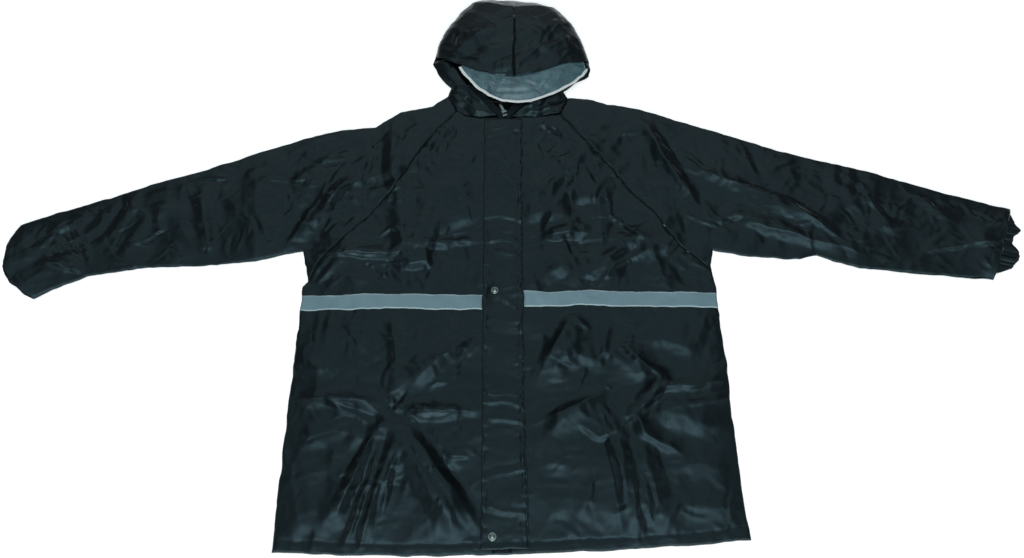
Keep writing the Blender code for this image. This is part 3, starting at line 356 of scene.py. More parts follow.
# Creases: (rise, reach, lean towards the right of its way, points); a trough has a minus rise
CREASES = [
    (1.2, 12, 0.0, [(-213, 317), (-204, 256), (-195, 223), (-183, 151), (-180, 71), (-179, -22)]),
    (2.4, 6, 0.3, [(-179, 333), (-162, 311), (-180, 293), (-190, 256), (-196, 228)]),
    (3.4, 9, 0.6, [(-275, 238), (-315, 171), (-354, 81), (-365, 62)]),
    (2.2, 6, 0.0, [(-365, 62), (-318, 50)]),
    (2.0, 7, 0.0, [(-340, 232), (-275, 238)]),
    (-2.0, 6, 0.0, [(-217, 299), (-246, 260)]),
    (1.8, 6, 0.0, [(-231, 245), (-242, 202)]),
    (1.8, 6, 0.0, [(-142, 65), (-49, 71)]),
    (2.0, 5, 0.0, [(-228, 67), (-210, 85), (-201, 93), (-182, 81)]),
    (-2.0, 6, 0.0, [(-201, 20), (-174, 56), (-158, 56)]),
    (2.0, 6, 0.5, [(-295, 44), (-189, 43)]),
    (1.8, 5, 0.3, [(-239, 37), (-211, 11), (-182, -22)]),
    (2.0, 10, 0.0, [(-172, 18), (-140, 29)]),
    (1.8, 5, 0.4, [(-325, -4), (-294, 37)]),
    (1.4, 5, 0.0, [(-312, -11), (-277, 29)]),
    (-2.6, 11, 0.0, [(118, 262), (91, 223), (56, 175), (18, 126)]),
    (2.4, 8, 0.4, [(112, 228), (103, 181), (72, 140), (54, 87), (18, 71)]),
    (2.0, 7, 0.0, [(122, 223), (137, 175)]),
    (2.8, 8, -0.4, [(151, 234), (192, 288), (213, 306)]),
    (-2.0, 6, 0.0, [(128, 288), (204, 313)]),
    (2.0, 7, 0.0, [(49, 322), (93, 284)]),
    (2.6, 11, -0.4, [(234, 306), (273, 213), (305, 146), (324, 124)]),
    (2.0, 6, 0.0, [(139, 114), (163, 118), (210, 79), (225, 71)]),
    (2.4, 11, 0.3, [(18, 65), (78, 58), (121, 71), (221, 73)]),
    (3.2, 8, 0.5, [(219, 52), (182, 29), (157, 11), (136, -19)]),
    (1.8, 13, 0.0, [(228, 56), (237, 5), (282, -22)]),
    (2.0, 7, 0.0, [(272, 46), (320, 11)]),
    (1.2, 10, 0.0, [(-192, -49), (-175, -174)]),
    (2.0, 5, 0.0, [(-189, -202), (-158, -234)]),
    (-2.0, 5, 0.0, [(-160, -197), (-183, -229)]),
    (1.8, 8, 0.3, [(-46, -93), (-124, -158), (-150, -186)]),
    (1.6, 7, 0.3, [(-46, -119), (-130, -202)]),
    (2.8, 9, 0.5, [(-319, -210), (-189, -210)]),
    (2.4, 7, 0.0, [(-278, -210), (-239, -234), (-186, -257)]),
    (2.8, 9, 0.5, [(-151, -226), (-106, -232), (-44, -227)]),
    (-3.6, 13, 0.0, [(-158, -272), (-102, -347), (-55, -417)]),
    (3.6, 9, -0.4, [(-153, -257), (-88, -342), (-44, -403)]),
    (4.2, 8, 0.3, [(-200, -260), (-235, -361), (-243, -382)]),
    (4.0, 7, 0.0, [(-187, -272), (-218, -389), (-229, -424)]),
    (3.8, 7, 0.3, [(-174, -283), (-203, -403), (-208, -428)]),
    (3.6, 7, 0.0, [(-164, -292), (-175, -347), (-181, -389)]),
    (2.0, 12, 0.0, [(-326, -148), (-282, -164)]),
    (1.4, 4, 0.0, [(-61, -417), (-41, -434)]),
    (3.0, 10, 0.5, [(90, -71), (55, -145), (34, -191)]),
    (2.0, 6, 0.0, [(98, -71), (121, -93)]),
    (2.6, 8, 0.0, [(149, -85), (130, -161)]),
    (4.0, 8, 0.6, [(161, -116), (224, -179)]),
    (3.6, 8, -0.4, [(224, -179), (213, -197), (189, -231)]),
    (2.8, 10, 0.4, [(16, -252), (86, -226), (131, -205)]),
    (-2.6, 11, 0.0, [(220, -212), (325, -191)]),
    (2.2, 6, 0.0, [(214, -195), (326, -178)]),
    (2.2, 6, 0.0, [(219, -227), (323, -205)]),
    (2.4, 6, 0.0, [(100, -249), (128, -268), (150, -257)]),
    (2.8, 8, 0.0, [(130, -218), (161, -272)]),
    (2.8, 8, 0.3, [(181, -234), (194, -265), (246, -295)]),
    (-2.8, 9, 0.0, [(132, -280), (142, -332), (149, -417)]),
    (-2.8, 9, 0.0, [(175, -280), (193, -340), (200, -375), (194, -403)]),
    (2.4, 9, 0.0, [(154, -275), (170, -347), (174, -410)]),
    (2.0, 6, 0.0, [(180, -361), (198, -403)]),
]
# Broad facets where whole areas of cloth tip towards or away from the light:
# (rise, reach to the left of its way, reach to the right, points)
SWELLS = [
    (5.2, 60, 24, [(-153, -178), (-95, -132), (-46, -94)]),
    (4.4, 100, 22, [(-319, -209), (-255, -212), (-187, -217)]),
    (3.4, 40, 13, [(-331, -147), (-278, -164)]),
    (3.0, 30, 9, [(-146, -228), (-44, -225)]),
    (3.6, 46, 24, [(-92, -300), (-68, -279), (-41, -258)]),
    (7.5, 90, 20, [(-54, -412), (-92, -343), (-118, -302), (-159, -264)]),
    (3.0, 40, 22, [(-308, -273), (-266, -258), (-218, -267)]),
    (2.6, 36, 30, [(-312, -333), (-260, -318), (-221, -336)]),
    (2.6, 34, 30, [(-317, -390), (-268, -373), (-225, -387)]),
    (2.6, 36, 26, [(-132, -362), (-102, -350), (-86, -390)]),
    (5.0, 26, 24, [(27, -188), (61, -129), (98, -68)]),
    (3.4, 30, 14, [(47, -149), (83, -94)]),
    (4.2, 34, 22, [(74, -149), (103, -139), (131, -142)]),
    (3.0, 36, 14, [(208, -122), (234, -105), (278, -132)]),
    (3.0, 20, 12, [(166, -117), (195, -142), (222, -177)]),
    (6.2, 22, 60, [(215, -216), (264, -211), (323, -206)]),
    (5.2, 26, 60, [(23, -291), (58, -258), (100, -239), (147, -233)]),
    (3.2, 30, 24, [(204, -227), (248, -230), (293, -249)]),
    (4.4, 16, 60, [(145, -273), (147, -347), (146, -409)]),
    (4.4, 18, 60, [(175, -278), (184, -347), (196, -409)]),
    (3.4, 20, 20, [(183, -242), (215, -273), (245, -294)]),
    (2.8, 40, 30, [(34, -318), (69, -306), (114, -318)]),
    (2.8, 40, 30, [(25, -369), (76, -359), (123, -370)]),
    (2.6, 40, 28, [(217, -318), (269, -306), (310, -324)]),
    (2.6, 36, 26, [(218, -379), (269, -365), (318, -376)]),
    (5.8, 70, 25, [(-154, 74), (-119, 109), (-47, 137)]),
    (3.4, 40, 9, [(-166, 64), (-46, 68)]),
    (6.0, 60, 18, [(-177, 28), (-126, 36)]),
    (3.6, 60, 10, [(-295, 45), (-233, 47), (-168, 43)]),
    (3.4, 60, 14, [(-181, 207), (-126, 293), (-98, 307)]),
    (3.4, 14, 50, [(-203, 178), (-213, 241), (-210, 298)]),
    (3.0, 50, 14, [(-303, 2), (-261, 36)]),
    (6.6, 80, 18, [(17, 115), (55, 123), (93, 119)]),
    (6.0, 60, 16, [(46, 78), (89, 86), (131, 82)]),
    (6.0, 60, 16, [(97, 153), (124, 163), (147, 153)]),
    (6.0, 50, 18, [(25, -25), (61, 9), (93, 28)]),
    (6.6, 50, 22, [(217, 47), (241, 62), (266, 51)]),
    (3.4, 60, 16, [(244, 101), (295, 117), (344, 113)]),
    (4.0, 60, 10, [(35, 302), (60, 311), (77, 298)]),
    (3.0, 60, 18, [(-318, 149), (-270, 178)]),
    (3.2, 60, 18, [(-476, 121), (-437, 141), (-383, 137)]),
    (3.0, 40, 20, [(-650, 121), (-603, 137), (-557, 121)]),
    (3.0, 60, 20, [(358, 211), (421, 199), (478, 170)]),
    (3.4, 60, 18, [(413, 137), (478, 125), (556, 97)]),
    (3.0, 50, 18, [(582, 149), (630, 137), (667, 117)]),
    (-4.6, 25, 60, [(-143, 47), (-98, 74), (-43, 97)]),
    (-2.0, 18, 50, [(20, 97), (56, 103), (94, 99)]),
    (-2.0, 14, 50, [(47, 62), (88, 70), (130, 66)]),
    (2.6, 50, 60, [(-190, 139), (-129, 207), (-74, 302)]),
    (2.4, 60, 44, [(-155, 93), (-101, 165), (-52, 258)]),
    (2.6, 56, 44, [(33, 141), (75, 215), (121, 258)]),
    (2.4, 70, 50, [(35, 28), (97, 47), (148, 28)]),
    (2.6, 70, 46, [(-314, -105), (-254, -125), (-203, -101)]),
    (2.2, 40, 60, [(-151, -94), (-116, -129), (-107, -198)]),
    (2.4, 60, 50, [(241, -94), (291, -84), (320, -108)]),
]
# The sleeves' creases: (rise, reach, lean, points), as the fronts' above
SLEEVE_CREASES = [
    (2.0, 10, 0.0, [(-529, 161), (-505, 91), (-486, 43)]),
    (2.0, 6, 0.0, [(-527, 196), (-479, 192)]),
    (2.0, 7, 0.3, [(-424, 192), (-334, 192)]),
    (2.4, 8, 0.0, [(-649, 155), (-609, 120)]),
    (2.0, 6, 0.0, [(-688, 138), (-673, 106)]),
    (2.0, 8, 0.0, [(-589, 144), (-585, 106)]),
    (2.8, 8, 0.4, [(-775, 56), (-730, 106)]),
    (2.8, 8, 0.0, [(-723, 110), (-680, 29)]),
    (1.5, 5, 0.0, [(-600, 29), (-481, 46)]),
    (-2.8, 11, 0.0, [(-427, 120), (-396, 52)]),
    (-2.6, 7, 0.0, [(-720, 120), (-778, 58)]),
    (-2.6, 6, 0.0, [(-739, 81), (-681, 31)]),
    (2.2, 6, 0.3, [(-764, 50), (-750, 77), (-732, 44), (-688, 9)]),
    (1.8, 5, 0.0, [(-744, 27), (-692, 9)]),
    (1.8, 5, 0.0, [(-727, 128), (-695, 112)]),
    (-2.0, 6, 0.0, [(-690, 142), (-679, 114)]),
    (-2.0, 6, 0.0, [(-665, 81), (-656, 60)]),
    (2.8, 10, 0.5, [(305, 223), (361, 188), (449, 151)]),
    (2.4, 8, 0.0, [(396, 266), (414, 202)]),
    (2.0, 7, 0.0, [(441, 213), (487, 234)]),
    (-2.8, 9, 0.0, [(328, 85), (386, 114)]),
    (3.0, 11, 0.5, [(385, 106), (456, 81), (534, 58), (576, 43)]),
    (2.6, 9, 0.0, [(464, 140), (536, 71)]),
    (2.4, 11, 0.2, [(545, 223), (589, 181), (604, 130), (628, 81)]),
    (2.0, 10, 0.2, [(677, 161), (731, 101)]),
    (2.4, 7, 0.5, [(665, 46), (755, 64), (788, 65)]),
    (1.8, 5, 0.0, [(718, 149), (735, 134)]),
    (1.8, 5, 0.0, [(753, 144), (758, 126)]),
    (-2.0, 6, 0.0, [(801, 116), (778, 101)]),
    (1.6, 5, 0.0, [(757, 41), (770, 14)]),
]
FLAP_MIDDLE_X, FLAP_HALF, TAPE_MIDDLE_Y, TAPE_END_X = -9.0, 33.0, -43.0, 325
CALM_HALF_WIDTH, CALM_FADE, FOLD_ENDS = 31.0, 22.0, 0.08
CREST, DEEPEST = 0.9, 12.0  # roundness of a crease's crest, and the most that creases add up to
NARROWEST, SHARPNESS, DIP, LEANING = 2.2, 0.5, 0.5, 0.7  # a crease's least width, and shares of its reach
CREASE_HEIGHT, CREASE_UNEVEN, UNEVEN_RUN = 0.85, 0.25, 38


def calm(x, y):
    """0 beside the flap and the tapes, where the cloth is held flat, and 1 away from them."""
    from_flap = np.abs(x - FLAP_MIDDLE_X) - FLAP_HALF
    from_tape = np.abs(y - TAPE_MIDDLE_Y) + np.maximum(0, np.abs(x) - TAPE_END_X)
    near = np.minimum(from_flap, from_tape)
    return np.clip((near - CALM_HALF_WIDTH + CALM_FADE / 2) / CALM_FADE, 0, 1)


def folded(x, y, folds):
    """Sum of broad folds: a bell across each line, fading out at both ends by a root of sine."""
    total = np.zeros(np.shape(x))
    for rise, reach, start, end in folds:
        off, run, _, length = line_distance(x, y, [start, end])
        fade = np.sin(math.pi * (FOLD_ENDS + (1 - 2 * FOLD_ENDS) * run / length)) ** 0.5
        total = total + rise * fade * np.exp(-((off / reach) ** 2))
    return total


END_SHARE = 0.25  # of its length, over which a crease or facet fades out at each end
BEND, BEND_CELL, FINE_BEND, FINE_BEND_CELL = 2.6, 30, 0.6, 10  # how creases stray from their lines


def creased(x, y, creases, seed=60):
    """Sum of crisp creases. Height falls off as an exponential from a rounded crest, with a
    shallow dip beside it; it is uneven along the line and fades at its ends. A lean makes one
    side steeper. Only points near a line are worked out."""
    wx = x + BEND * noise(x, y, BEND_CELL, seed) + FINE_BEND * noise(x, y, FINE_BEND_CELL, seed + 1)
    wy = y + BEND * noise(x, y, BEND_CELL, seed + 2) + FINE_BEND * noise(x, y, FINE_BEND_CELL, seed + 3)
    total = np.zeros(np.shape(x))
    for k, (rise, reach, lean, line) in enumerate(creases):
        (low_x, low_y), (high_x, high_y), room = np.min(line, axis=0), np.max(line, axis=0), 4 * reach
        near = ((wx > low_x - room) & (wx < high_x + room) & (wy > low_y - room) & (wy < high_y + room))
        if not near.any():
            continue
        off, run, side, length = line_distance(wx[near], wy[near], line)
        turn = math.copysign(1, lean) if lean else (-1) ** k
        width = np.maximum(NARROWEST, SHARPNESS * reach * (1 + lean * side * LEANING))
        ends = np.clip(np.minimum(run, length - run) / (END_SHARE * length) + 0.12, 0, 1) ** 0.7
        uneven = 1 + CREASE_UNEVEN * noise(run, 0 * run + 37 * k, UNEVEN_RUN, seed + 4)
        crest = np.exp(-(np.sqrt(off ** 2 + CREST ** 2) - CREST) / width)
        dip = DIP * np.exp(-((off * side + turn * 1.5 * reach) / (0.8 * reach)) ** 2)
        ends = ends * np.exp(-(np.maximum(0, off - 2.5 * reach) / reach))
        total[near] += CREASE_HEIGHT * rise * uneven * ends * (crest - dip)
    return total


RIDGE_ROUND, FOOT_ROUND = 2.0, 0.004  # how soft a facet's crest and foot are
RIDGE_BEND, RIDGE_BEND_CELL = 5, 40


def tented(x, y, swells):
    """Sum of broad facets: from each crest the cloth falls in a straight slope to either side,
    down to nothing at that side's reach."""
    wx = x + RIDGE_BEND * noise(x, y, RIDGE_BEND_CELL, 200)
    wy = y + RIDGE_BEND * noise(x, y, RIDGE_BEND_CELL, 201)
    total = np.zeros(np.shape(x))
    for rise, left, right, line in swells:
        off, run, side, length = line_distance(wx, wy, line)
        reach = np.where(side > 0, left, right)
        fall = 1 - (np.sqrt(off ** 2 + RIDGE_ROUND) - 1.4) / reach
        ends = np.clip(np.minimum(run, length - run) / (END_SHARE * length) + 0.25, 0, 1)
        total += rise * ends * (fall + np.sqrt(fall ** 2 + FOOT_ROUND)) / 2
    return total


def scattered(count, low, high, seed):
    """A table of short creases, bent in the middle, at seeded random places and angles: 12 to
    64 mm long, most of them short, 0.4 to 1.3 mm high, three in ten of them troughs."""
    pick = np.random.default_rng(seed)
    middle = pick.uniform(low, high, (count, 2))
    angle, length = pick.uniform(0, math.pi, count), 12 + 52 * pick.uniform(0, 1, count) ** 2
    half = np.column_stack([np.cos(angle), np.sin(angle)]) * length[:, None] / 2
    bend = np.column_stack([-half[:, 1], half[:, 0]]) * pick.uniform(-0.25, 0.25, (count, 1))
    rise = pick.uniform(0.4, 1.3, count) * np.where(pick.uniform(0, 1, count) < 0.3, -1, 1)
    reach, lean = pick.uniform(2.4, 5.0, count), pick.uniform(-0.6, 0.6, count)
    return [(rise[k], reach[k], lean[k], [middle[k] - half[k], middle[k] + bend[k], middle[k] + half[k]])
            for k in range(count)]


GROOVE_HALF, FINE_PUCKER, FINE_PITCH = 1.7, 0.6, 0.55


def sewn(x, y, line, depth, pucker, pitch, reach, seed):
    """A seam or stitch line: a narrow groove, with small puckers across it that fade away."""
    off, run, side, _ = line_distance(x, y, line)
    tight = noise(run, side * 11, pitch, seed)
    tight = tight + FINE_PUCKER * noise(run, side * 17, pitch * FINE_PITCH, seed + 1)
    return -depth * np.exp(-(off / GROOVE_HALF) ** 2) + pucker * tight * np.exp(-off / reach)


def shifted(line, by):
    """A line moved straight up."""
    return [(px, py + by) for px, py in line]


SMALL_CREASES = scattered(900, (-825, -440), (835, 400), 11)
UPPER_SEAMS = [  # (line, depth, pucker, pitch, reach, seed)
    (RAGLAN_RIGHT, 0.7, 0.9, 11, 10, 70), (RAGLAN_LEFT, 0.7, 0.9, 11, 10, 72),
    (shifted(HEM, HEM_STITCHES[0]), 0.5, 0.35, 9, 6, 74),
    (shifted(HEM, HEM_STITCHES[1]), 0.6, 0.45, 9, 8, 76),
]
CRUMPLE_SHARE, FACET_SHARES = 1.6, ([-260, 20], [0.6, 1])  # facets are flatter near the hem (y, share)
BESIDE_FLAP, BY_OUTLINE = 0.6, 0.25  # the shares of the creases that are left there
LOWEST, SOFTNESS = 2.2, 1.6  # the least height of the upper layer, reached by a soft step


def upper_top(x, y, extra=0.0):
    """Outer face of the upper layer: loft inside the outline, folds, creases and seams."""
    distance = edge_distance(x, y)
    inside = 1 - np.exp(-distance / EDGE_REACH)
    base = UPPER_EDGE_MID + HALF_CLOTH + inside * (LOFT + folded(x, y, FOLDS) * calm(x, y))
    detail = tented(x, y, SWELLS) + creased(x, y, CREASES + SLEEVE_CREASES + SMALL_CREASES)
    detail = detail + CRUMPLE_SHARE * crumple(x, y) + facets(x, y) * np.interp(y, *FACET_SHARES)
    detail = detail * (BESIDE_FLAP + (1 - BESIDE_FLAP) * calm(x, y))
    detail = DEEPEST * np.tanh(detail / DEEPEST) * (BY_OUTLINE + (1 - BY_OUTLINE) * inside)
    detail += sum(sewn(x, y, *seam) for seam in UPPER_SEAMS)
    from_hem = line_distance(x, y, HEM)[0]
    detail += HEM_RISE * np.clip(1 - from_hem / HEM_STITCHES[1], 0, 1)
    height = base + detail + extra
    height = LOWEST + np.logaddexp(0, (height - LOWEST) * SOFTNESS) / SOFTNESS
    return SEAM_Z + (height - SEAM_Z) * rolled(distance)


CLOTH_STEP = 2.7  # from one row or column of the fronts' grids to the next


def front(name, node, side, raglan, neck, closing_x):
    """A front panel: a grid between the side with its raglan seam, zip edge, hem and neck."""
    hem_at = float(np.interp(closing_x, *np.array(HEM, float).T))
    hem = [p for p in HEM if (p[0] - closing_x) * side[0][0] > 0]
    hem = sorted(hem, key=lambda p: -abs(p[0])) + [(closing_x, hem_at)]
    zip_edge = [(closing_x, hem_at), (closing_x, neck[-1][1])]
    rows, columns = steps(850, CLOTH_STEP, (1, 0)), steps(320, CLOTH_STEP, (1, 0))
    grid = coons([*side, *raglan[1:]], zip_edge, hem, neck, rows, columns)
    x, y = grid[..., 0], grid[..., 1]
    made = cloth(name, np.dstack([x, y, upper_top(x, y)]), taffeta)
    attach(made, "root")
    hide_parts(node)
    return made


closing = ZIP_TAPE + ZIP_GAP
front_right = front(
    "front_panel_right", "front_right", SIDE_RIGHT, RAGLAN_RIGHT, NECK_RIGHT, ZIP_X - closing)
front_left = front(
    "front_panel_left", "front_left", SIDE_LEFT, RAGLAN_LEFT, NECK_LEFT, ZIP_X + closing)

STITCH_LINE_STEP = 4.0


def on_upper(line):
    """A line of (x, y) laid on the upper layer, as 3-D points."""
    length = np.linalg.norm(np.diff(np.array(line, float), axis=0), axis=1).sum()
    flat = at_shares(line, np.linspace(0, 1, max(2, int(length / STITCH_LINE_STEP))))
    return np.column_stack([flat, upper_top(flat[:, 0], flat[:, 1])])


def aside(line, by):
    """A line moved to its left by a distance."""
    line = np.array(line, float)
    way = np.gradient(line, axis=0)
    way /= np.linalg.norm(way, axis=1, keepdims=True)
    return line + np.column_stack([-way[:, 1], way[:, 0]]) * by


def two_toned(name, pattern, settings, inputs, dark, light, **sockets):
    """A material whose colour goes from dark to light by one texture's pattern; returned with
    its tree, its shader and the pattern's socket."""
    made, tree, shader = material(name, **sockets)
    place = put(tree, "ShaderNodeTexCoord", {}, {}).outputs["Object"]
    texture = put(tree, pattern, settings, {"Vector": place, **inputs}).outputs["Fac"]
    colour = put(tree, "ShaderNodeMix", {"data_type": "RGBA"},
                 {0: texture, 6: linear(dark), 7: linear(light)})
    tree.links.new(colour.outputs[2], shader.inputs["Base Color"])
    return made, tree, shader, texture


# black twisted thread: its plies, about a millimetre long, give it a faint mottle
thread, *_ = two_toned("polyester_thread_twisted", "ShaderNodeTexNoise", {}, {"Scale": 900.0},
                       "#0a0f11", "#161e21", Roughness=0.5)

hem_inner = [(-322, -434), *HEM[1:-1], (324, -417)]
seam_lines = [on_upper(shifted(hem_inner, by)) for by in HEM_STITCHES]
front_stitches = stitches("front_stitches", seam_lines, thread)
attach(front_stitches, "root")

# ---- Sleeves ----------------------------------------------------------------------------
# Each raglan sleeve is one piece folded along its upper edge and closed by an underarm seam.
# It lies flat as a tube, slack along its length, and its hem holds the elastic cuff.
RAGLAN_SHARE = 10 / 12  # of the sleeve's first row, the rest runs on to the neck
WRIST_RISE, WRIST_REACH = 5.0, 55.0
RAGLAN_STEP, JOIN_ROWS = 0.5, 14  # gap at the seam, and rows from it to the first station
LOW_Z, LOW_CREASE, LOW_FINE = 0.12, 0.3, 0.25  # the lower layer over the table, and its creases
SLEEVE_HEM, HEM_DEPTH, HEM_HALF = 14, 0.5, 1.6  # the groove of the sleeve's hem


def sleeve_rows(stations, raglan, shoulder, count, columns):
    """Rows from the raglan seam to the wrist, each from the underarm edge to the upper edge;
    a row bows towards the wrist as 4 s (1 - s)."""
    table = at_shares(stations, np.linspace(0, 1, count))
    run = np.concatenate([[0], np.cumsum(np.linalg.norm(np.diff(np.array(raglan, float), axis=0), axis=1))])
    keys = np.append(run / run[-1] * RAGLAN_SHARE, 1)
    first = np.array([*raglan, shoulder], float)
    first = np.column_stack([np.interp(columns, keys, first[:, k]) for k in (0, 1)])
    top, under, out = table[:, None, :2], table[:, None, 2:4], table[:, None, 4:]
    s = columns[None, :, None]
    way = top - under
    wristward = np.concatenate([way[..., 1:], -way[..., :1]], axis=2)
    wristward *= np.sign(wristward[..., :1] * top[..., :1]) / np.linalg.norm(way, axis=2, keepdims=True)
    rows = under + s * way + wristward * out * 4 * s * (1 - s)
    join = np.linspace(0, 1, JOIN_ROWS)[:-1, None, None]
    start = first[None] * (1 - join) + rows[:1] * join
    step = start[1] - start[0]
    start[0] += step / np.maximum(np.linalg.norm(step, axis=1, keepdims=True), 1e-9) * RAGLAN_STEP
    return np.concatenate([start, rows])


def sleeve(side, stations, raglan, back_top, shoulder, count):
    """The sleeve's outer face as a ring: the upper layer outwards, the lower one back. Returned
    with its last two rows, the wrist's."""
    columns, low_columns = steps(330, 3.0, (1, 1)), steps(330, 12, (1, 1))
    upper = sleeve_rows(stations, raglan, shoulder, count, columns)
    lower = sleeve_rows(stations, [raglan[0], back_top], shoulder, count, low_columns)
    x, y = upper[..., 0], upper[..., 1]
    from_wrist = np.linalg.norm(upper - upper[-1], axis=2)
    arch = np.sqrt(np.sin(math.pi * columns))[None]
    rise = WRIST_RISE * np.exp(-((from_wrist / WRIST_REACH) ** 2)) * arch
    hem = -HEM_DEPTH * np.exp(-((from_wrist - SLEEVE_HEM) / HEM_HALF) ** 2) * arch
    z = upper_top(x, y, rise + hem)
    lx, ly = lower[..., 0], lower[..., 1]
    low_z = LOW_Z + LOW_CREASE * np.abs(noise(lx, ly, 30, 90)) + LOW_FINE * np.abs(noise(lx, ly, 12, 91))
    low_z = SEAM_Z + (low_z - SEAM_Z) * rolled(edge_distance(lx, ly))
    ring = np.concatenate([np.dstack([x, y, z]), np.dstack([lx, ly, low_z])[:, -2:0:-1]], axis=1)
    made = cloth(f"raglan_sleeve_{side}", ring, taffeta, ring=True)
    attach(made, "root")
    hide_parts(f"sleeve_{side}")
    return made, upper[-1], upper[-2]


sleeve_right = sleeve("right", SLEEVE_RIGHT, RAGLAN_RIGHT, BACK_NECK[0], SHOULDER_RIGHT, 230)
sleeve_left = sleeve("left", SLEEVE_LEFT, RAGLAN_LEFT, BACK_NECK[-1], SHOULDER_LEFT, 240)

# ---- Elastic cuffs ----------------------------------------------------------------------
# A short tube of the same cloth set inside each sleeve's mouth and gathered by elastic, so it
# stands out past the sleeve's hem as a ruffle.
CUFF_INSIDE, CUFF_NARROWER, MOUTH = 26.0, 0.095, 170
CUFF_HIGH, CUFF_ARCH, CUFF_LOW, CUFF_DROOP, CUFF_FLOOR = 3.4, 2.2, 1.5, 0.9, 0.4
GATHERED_IN, GATHERED_OUT = 0.3, 1.5  # depth of the gathers inside, and what the free edge adds
LEAST_OPEN = 1.1  # the cuff's two layers are at least this far apart
FRILL_RIGHT = [(0, 3), (0.3, 6), (0.65, 6), (0.85, 3), (1, 3)]  # (share from the underarm, mm)
FRILL_LEFT = [(0, 4), (0.12, 20), (0.3, 30), (0.42, 27), (0.52, 13), (0.62, 12), (0.78, 22),
              (0.88, 12), (1, 3)]


def cuff(side, carrier, wrist, before, frill, seed):
    """A flat ring: rows run outwards from inside the sleeve, and the gathers are waves across
    it that deepen towards the free edge."""
    shares = np.linspace(0, 1, 110)
    line = at_shares(wrist, shares)
    middle = line.mean(0)
    outward = middle - before.mean(0)
    outward /= np.linalg.norm(outward)
    narrow = middle + (line - middle) * (1 - 2 * CUFF_NARROWER)
    past = np.interp(shares, *np.array(frill, float).T) + 1.2 * noise(shares * 160, 0 * shares, 7, seed)
    t = np.linspace(0, 1, 16)[:, None]
    reach = -CUFF_INSIDE + t * (CUFF_INSIDE + past[None])
    grid = narrow[None] + outward * reach[..., None]
    across = shares[None] * MOUTH
    gathers = noise(across, t * 6, 15, seed + 1) + 0.4 * noise(across, t * 9, 6, seed + 2)
    arch = np.sin(math.pi * (CUFF_NARROWER + shares * (1 - 2 * CUFF_NARROWER)))[None] ** 0.7
    flutter = (GATHERED_IN + GATHERED_OUT * t) * gathers
    high = CUFF_HIGH + CUFF_ARCH * arch + flutter * np.sin(math.pi * shares)[None] ** 0.3
    low = CUFF_LOW - CUFF_DROOP * t ** 3 + GATHERED_IN * gathers * t
    low = np.maximum(low, CUFF_FLOOR)
    high = np.maximum(high, low + LEAST_OPEN)
    upper = np.dstack([grid, high])
    lower = np.dstack([grid, low])[:, ::5]
    ring = np.concatenate([upper, lower[:, -2:0:-1]], axis=1)
    made = cloth(f"elastic_cuff_{side}", ring, taffeta, ring=True, wall=0.4)
    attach(made, "root")
    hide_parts(f"cuff_{side}")


cuff("right", *sleeve_right, FRILL_RIGHT, 120)
cuff("left", *sleeve_left, FRILL_LEFT, 130)

# ---- Zip --------------------------------------------------------------------------------
# A moulded zip closes the front under the storm flap: two woven tapes with teeth along their
# inner edges. It is open above the slider, and the tapes turn out along the collar's edges.
ZIP_FOOT_Y, ZIP_OPEN_Y = -435.5, 330.0
ZIP_SUNK, TEETH_INSET, TEETH_SUNK = 0.25, 1.0, 0.2
OPEN_FOOT_Y, OPEN_SPREAD, COLLAR_RISE = 336.0, 2.4, 8.0
COLLAR_CORNER_RIGHT, COLLAR_CORNER_LEFT = (-76, 394), (50, 392)


def zip_line(corner, sign):
    """Middle line of one tape: straight up under the flap, then out along the collar's edge."""
    x = ZIP_X + sign * (ZIP_TAPE + ZIP_GAP) / 2
    foot = (ZIP_X + sign * (ZIP_TAPE / 2 + OPEN_SPREAD), OPEN_FOOT_Y)
    return at_shares([(x, ZIP_FOOT_Y), (x, ZIP_OPEN_Y - 4), foot, corner], np.linspace(0, 1, 260))


def climb(y, corner_y):
    """Rise of the collar from its foot to its top edge."""
    return COLLAR_RISE * np.clip((y - OPEN_FOOT_Y) / (corner_y - OPEN_FOOT_Y), 0, 1)


# a dull twilled band beside the glossy cloth: slanting ribs, drawn 1.1 mm apart
zip_cloth, tree, shader, ribs = two_toned(
    "zip_tape_woven_polyester", "ShaderNodeTexWave", {"bands_direction": "DIAGONAL"}, {"Scale": 400.0},
    "#05080a", "#0d1214", Roughness=0.6, Specular_IOR_Level=0.3, Specular_Tint=linear("#bde9f8"))
bump = put(tree, "ShaderNodeBump", {}, {"Strength": 0.5, "Distance": 0.0001, "Height": ribs})
tree.links.new(bump.outputs[0], shader.inputs["Normal"])

# moulded teeth: a little paler and glossier than the tape
acetal, *_ = two_toned("zip_teeth_moulded_acetal", "ShaderNodeTexNoise", {}, {"Scale": 700.0},
                       "#0e1214", "#22292c", Roughness=0.3)

teeth_lines = []
for side, sign, corner in (("right", -1, COLLAR_CORNER_RIGHT), ("left", 1, COLLAR_CORNER_LEFT)):
    line = zip_line(corner, sign)
    edges = [aside(line, by) for by in np.linspace(-ZIP_TAPE / 2, ZIP_TAPE / 2, 6)]
    grid = np.stack(edges, axis=1)
    x, y = grid[..., 0], grid[..., 1]
    rise = climb(line[:, 1], corner[1])[:, None] + 0 * x
    z = upper_top(x, y) + rise - ZIP_SUNK
    tape = cloth(f"zip_tape_{side}_woven", np.dstack([x, y, z]), zip_cloth, wall=0.6)
    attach(tape, "root")
    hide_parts(f"zip_tape_{side}")
    inner = aside(line, sign * (ZIP_TAPE / 2 - TEETH_INSET))
    z = upper_top(inner[:, 0], inner[:, 1]) + rise[:, 0] - TEETH_SUNK
    teeth_lines.append(np.column_stack([inner, z]))
zip_teeth = stitches("zip_teeth", teeth_lines, acetal, pitch=2.0, size=(1.2, 2.6, 1.1))
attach(zip_teeth, "root")

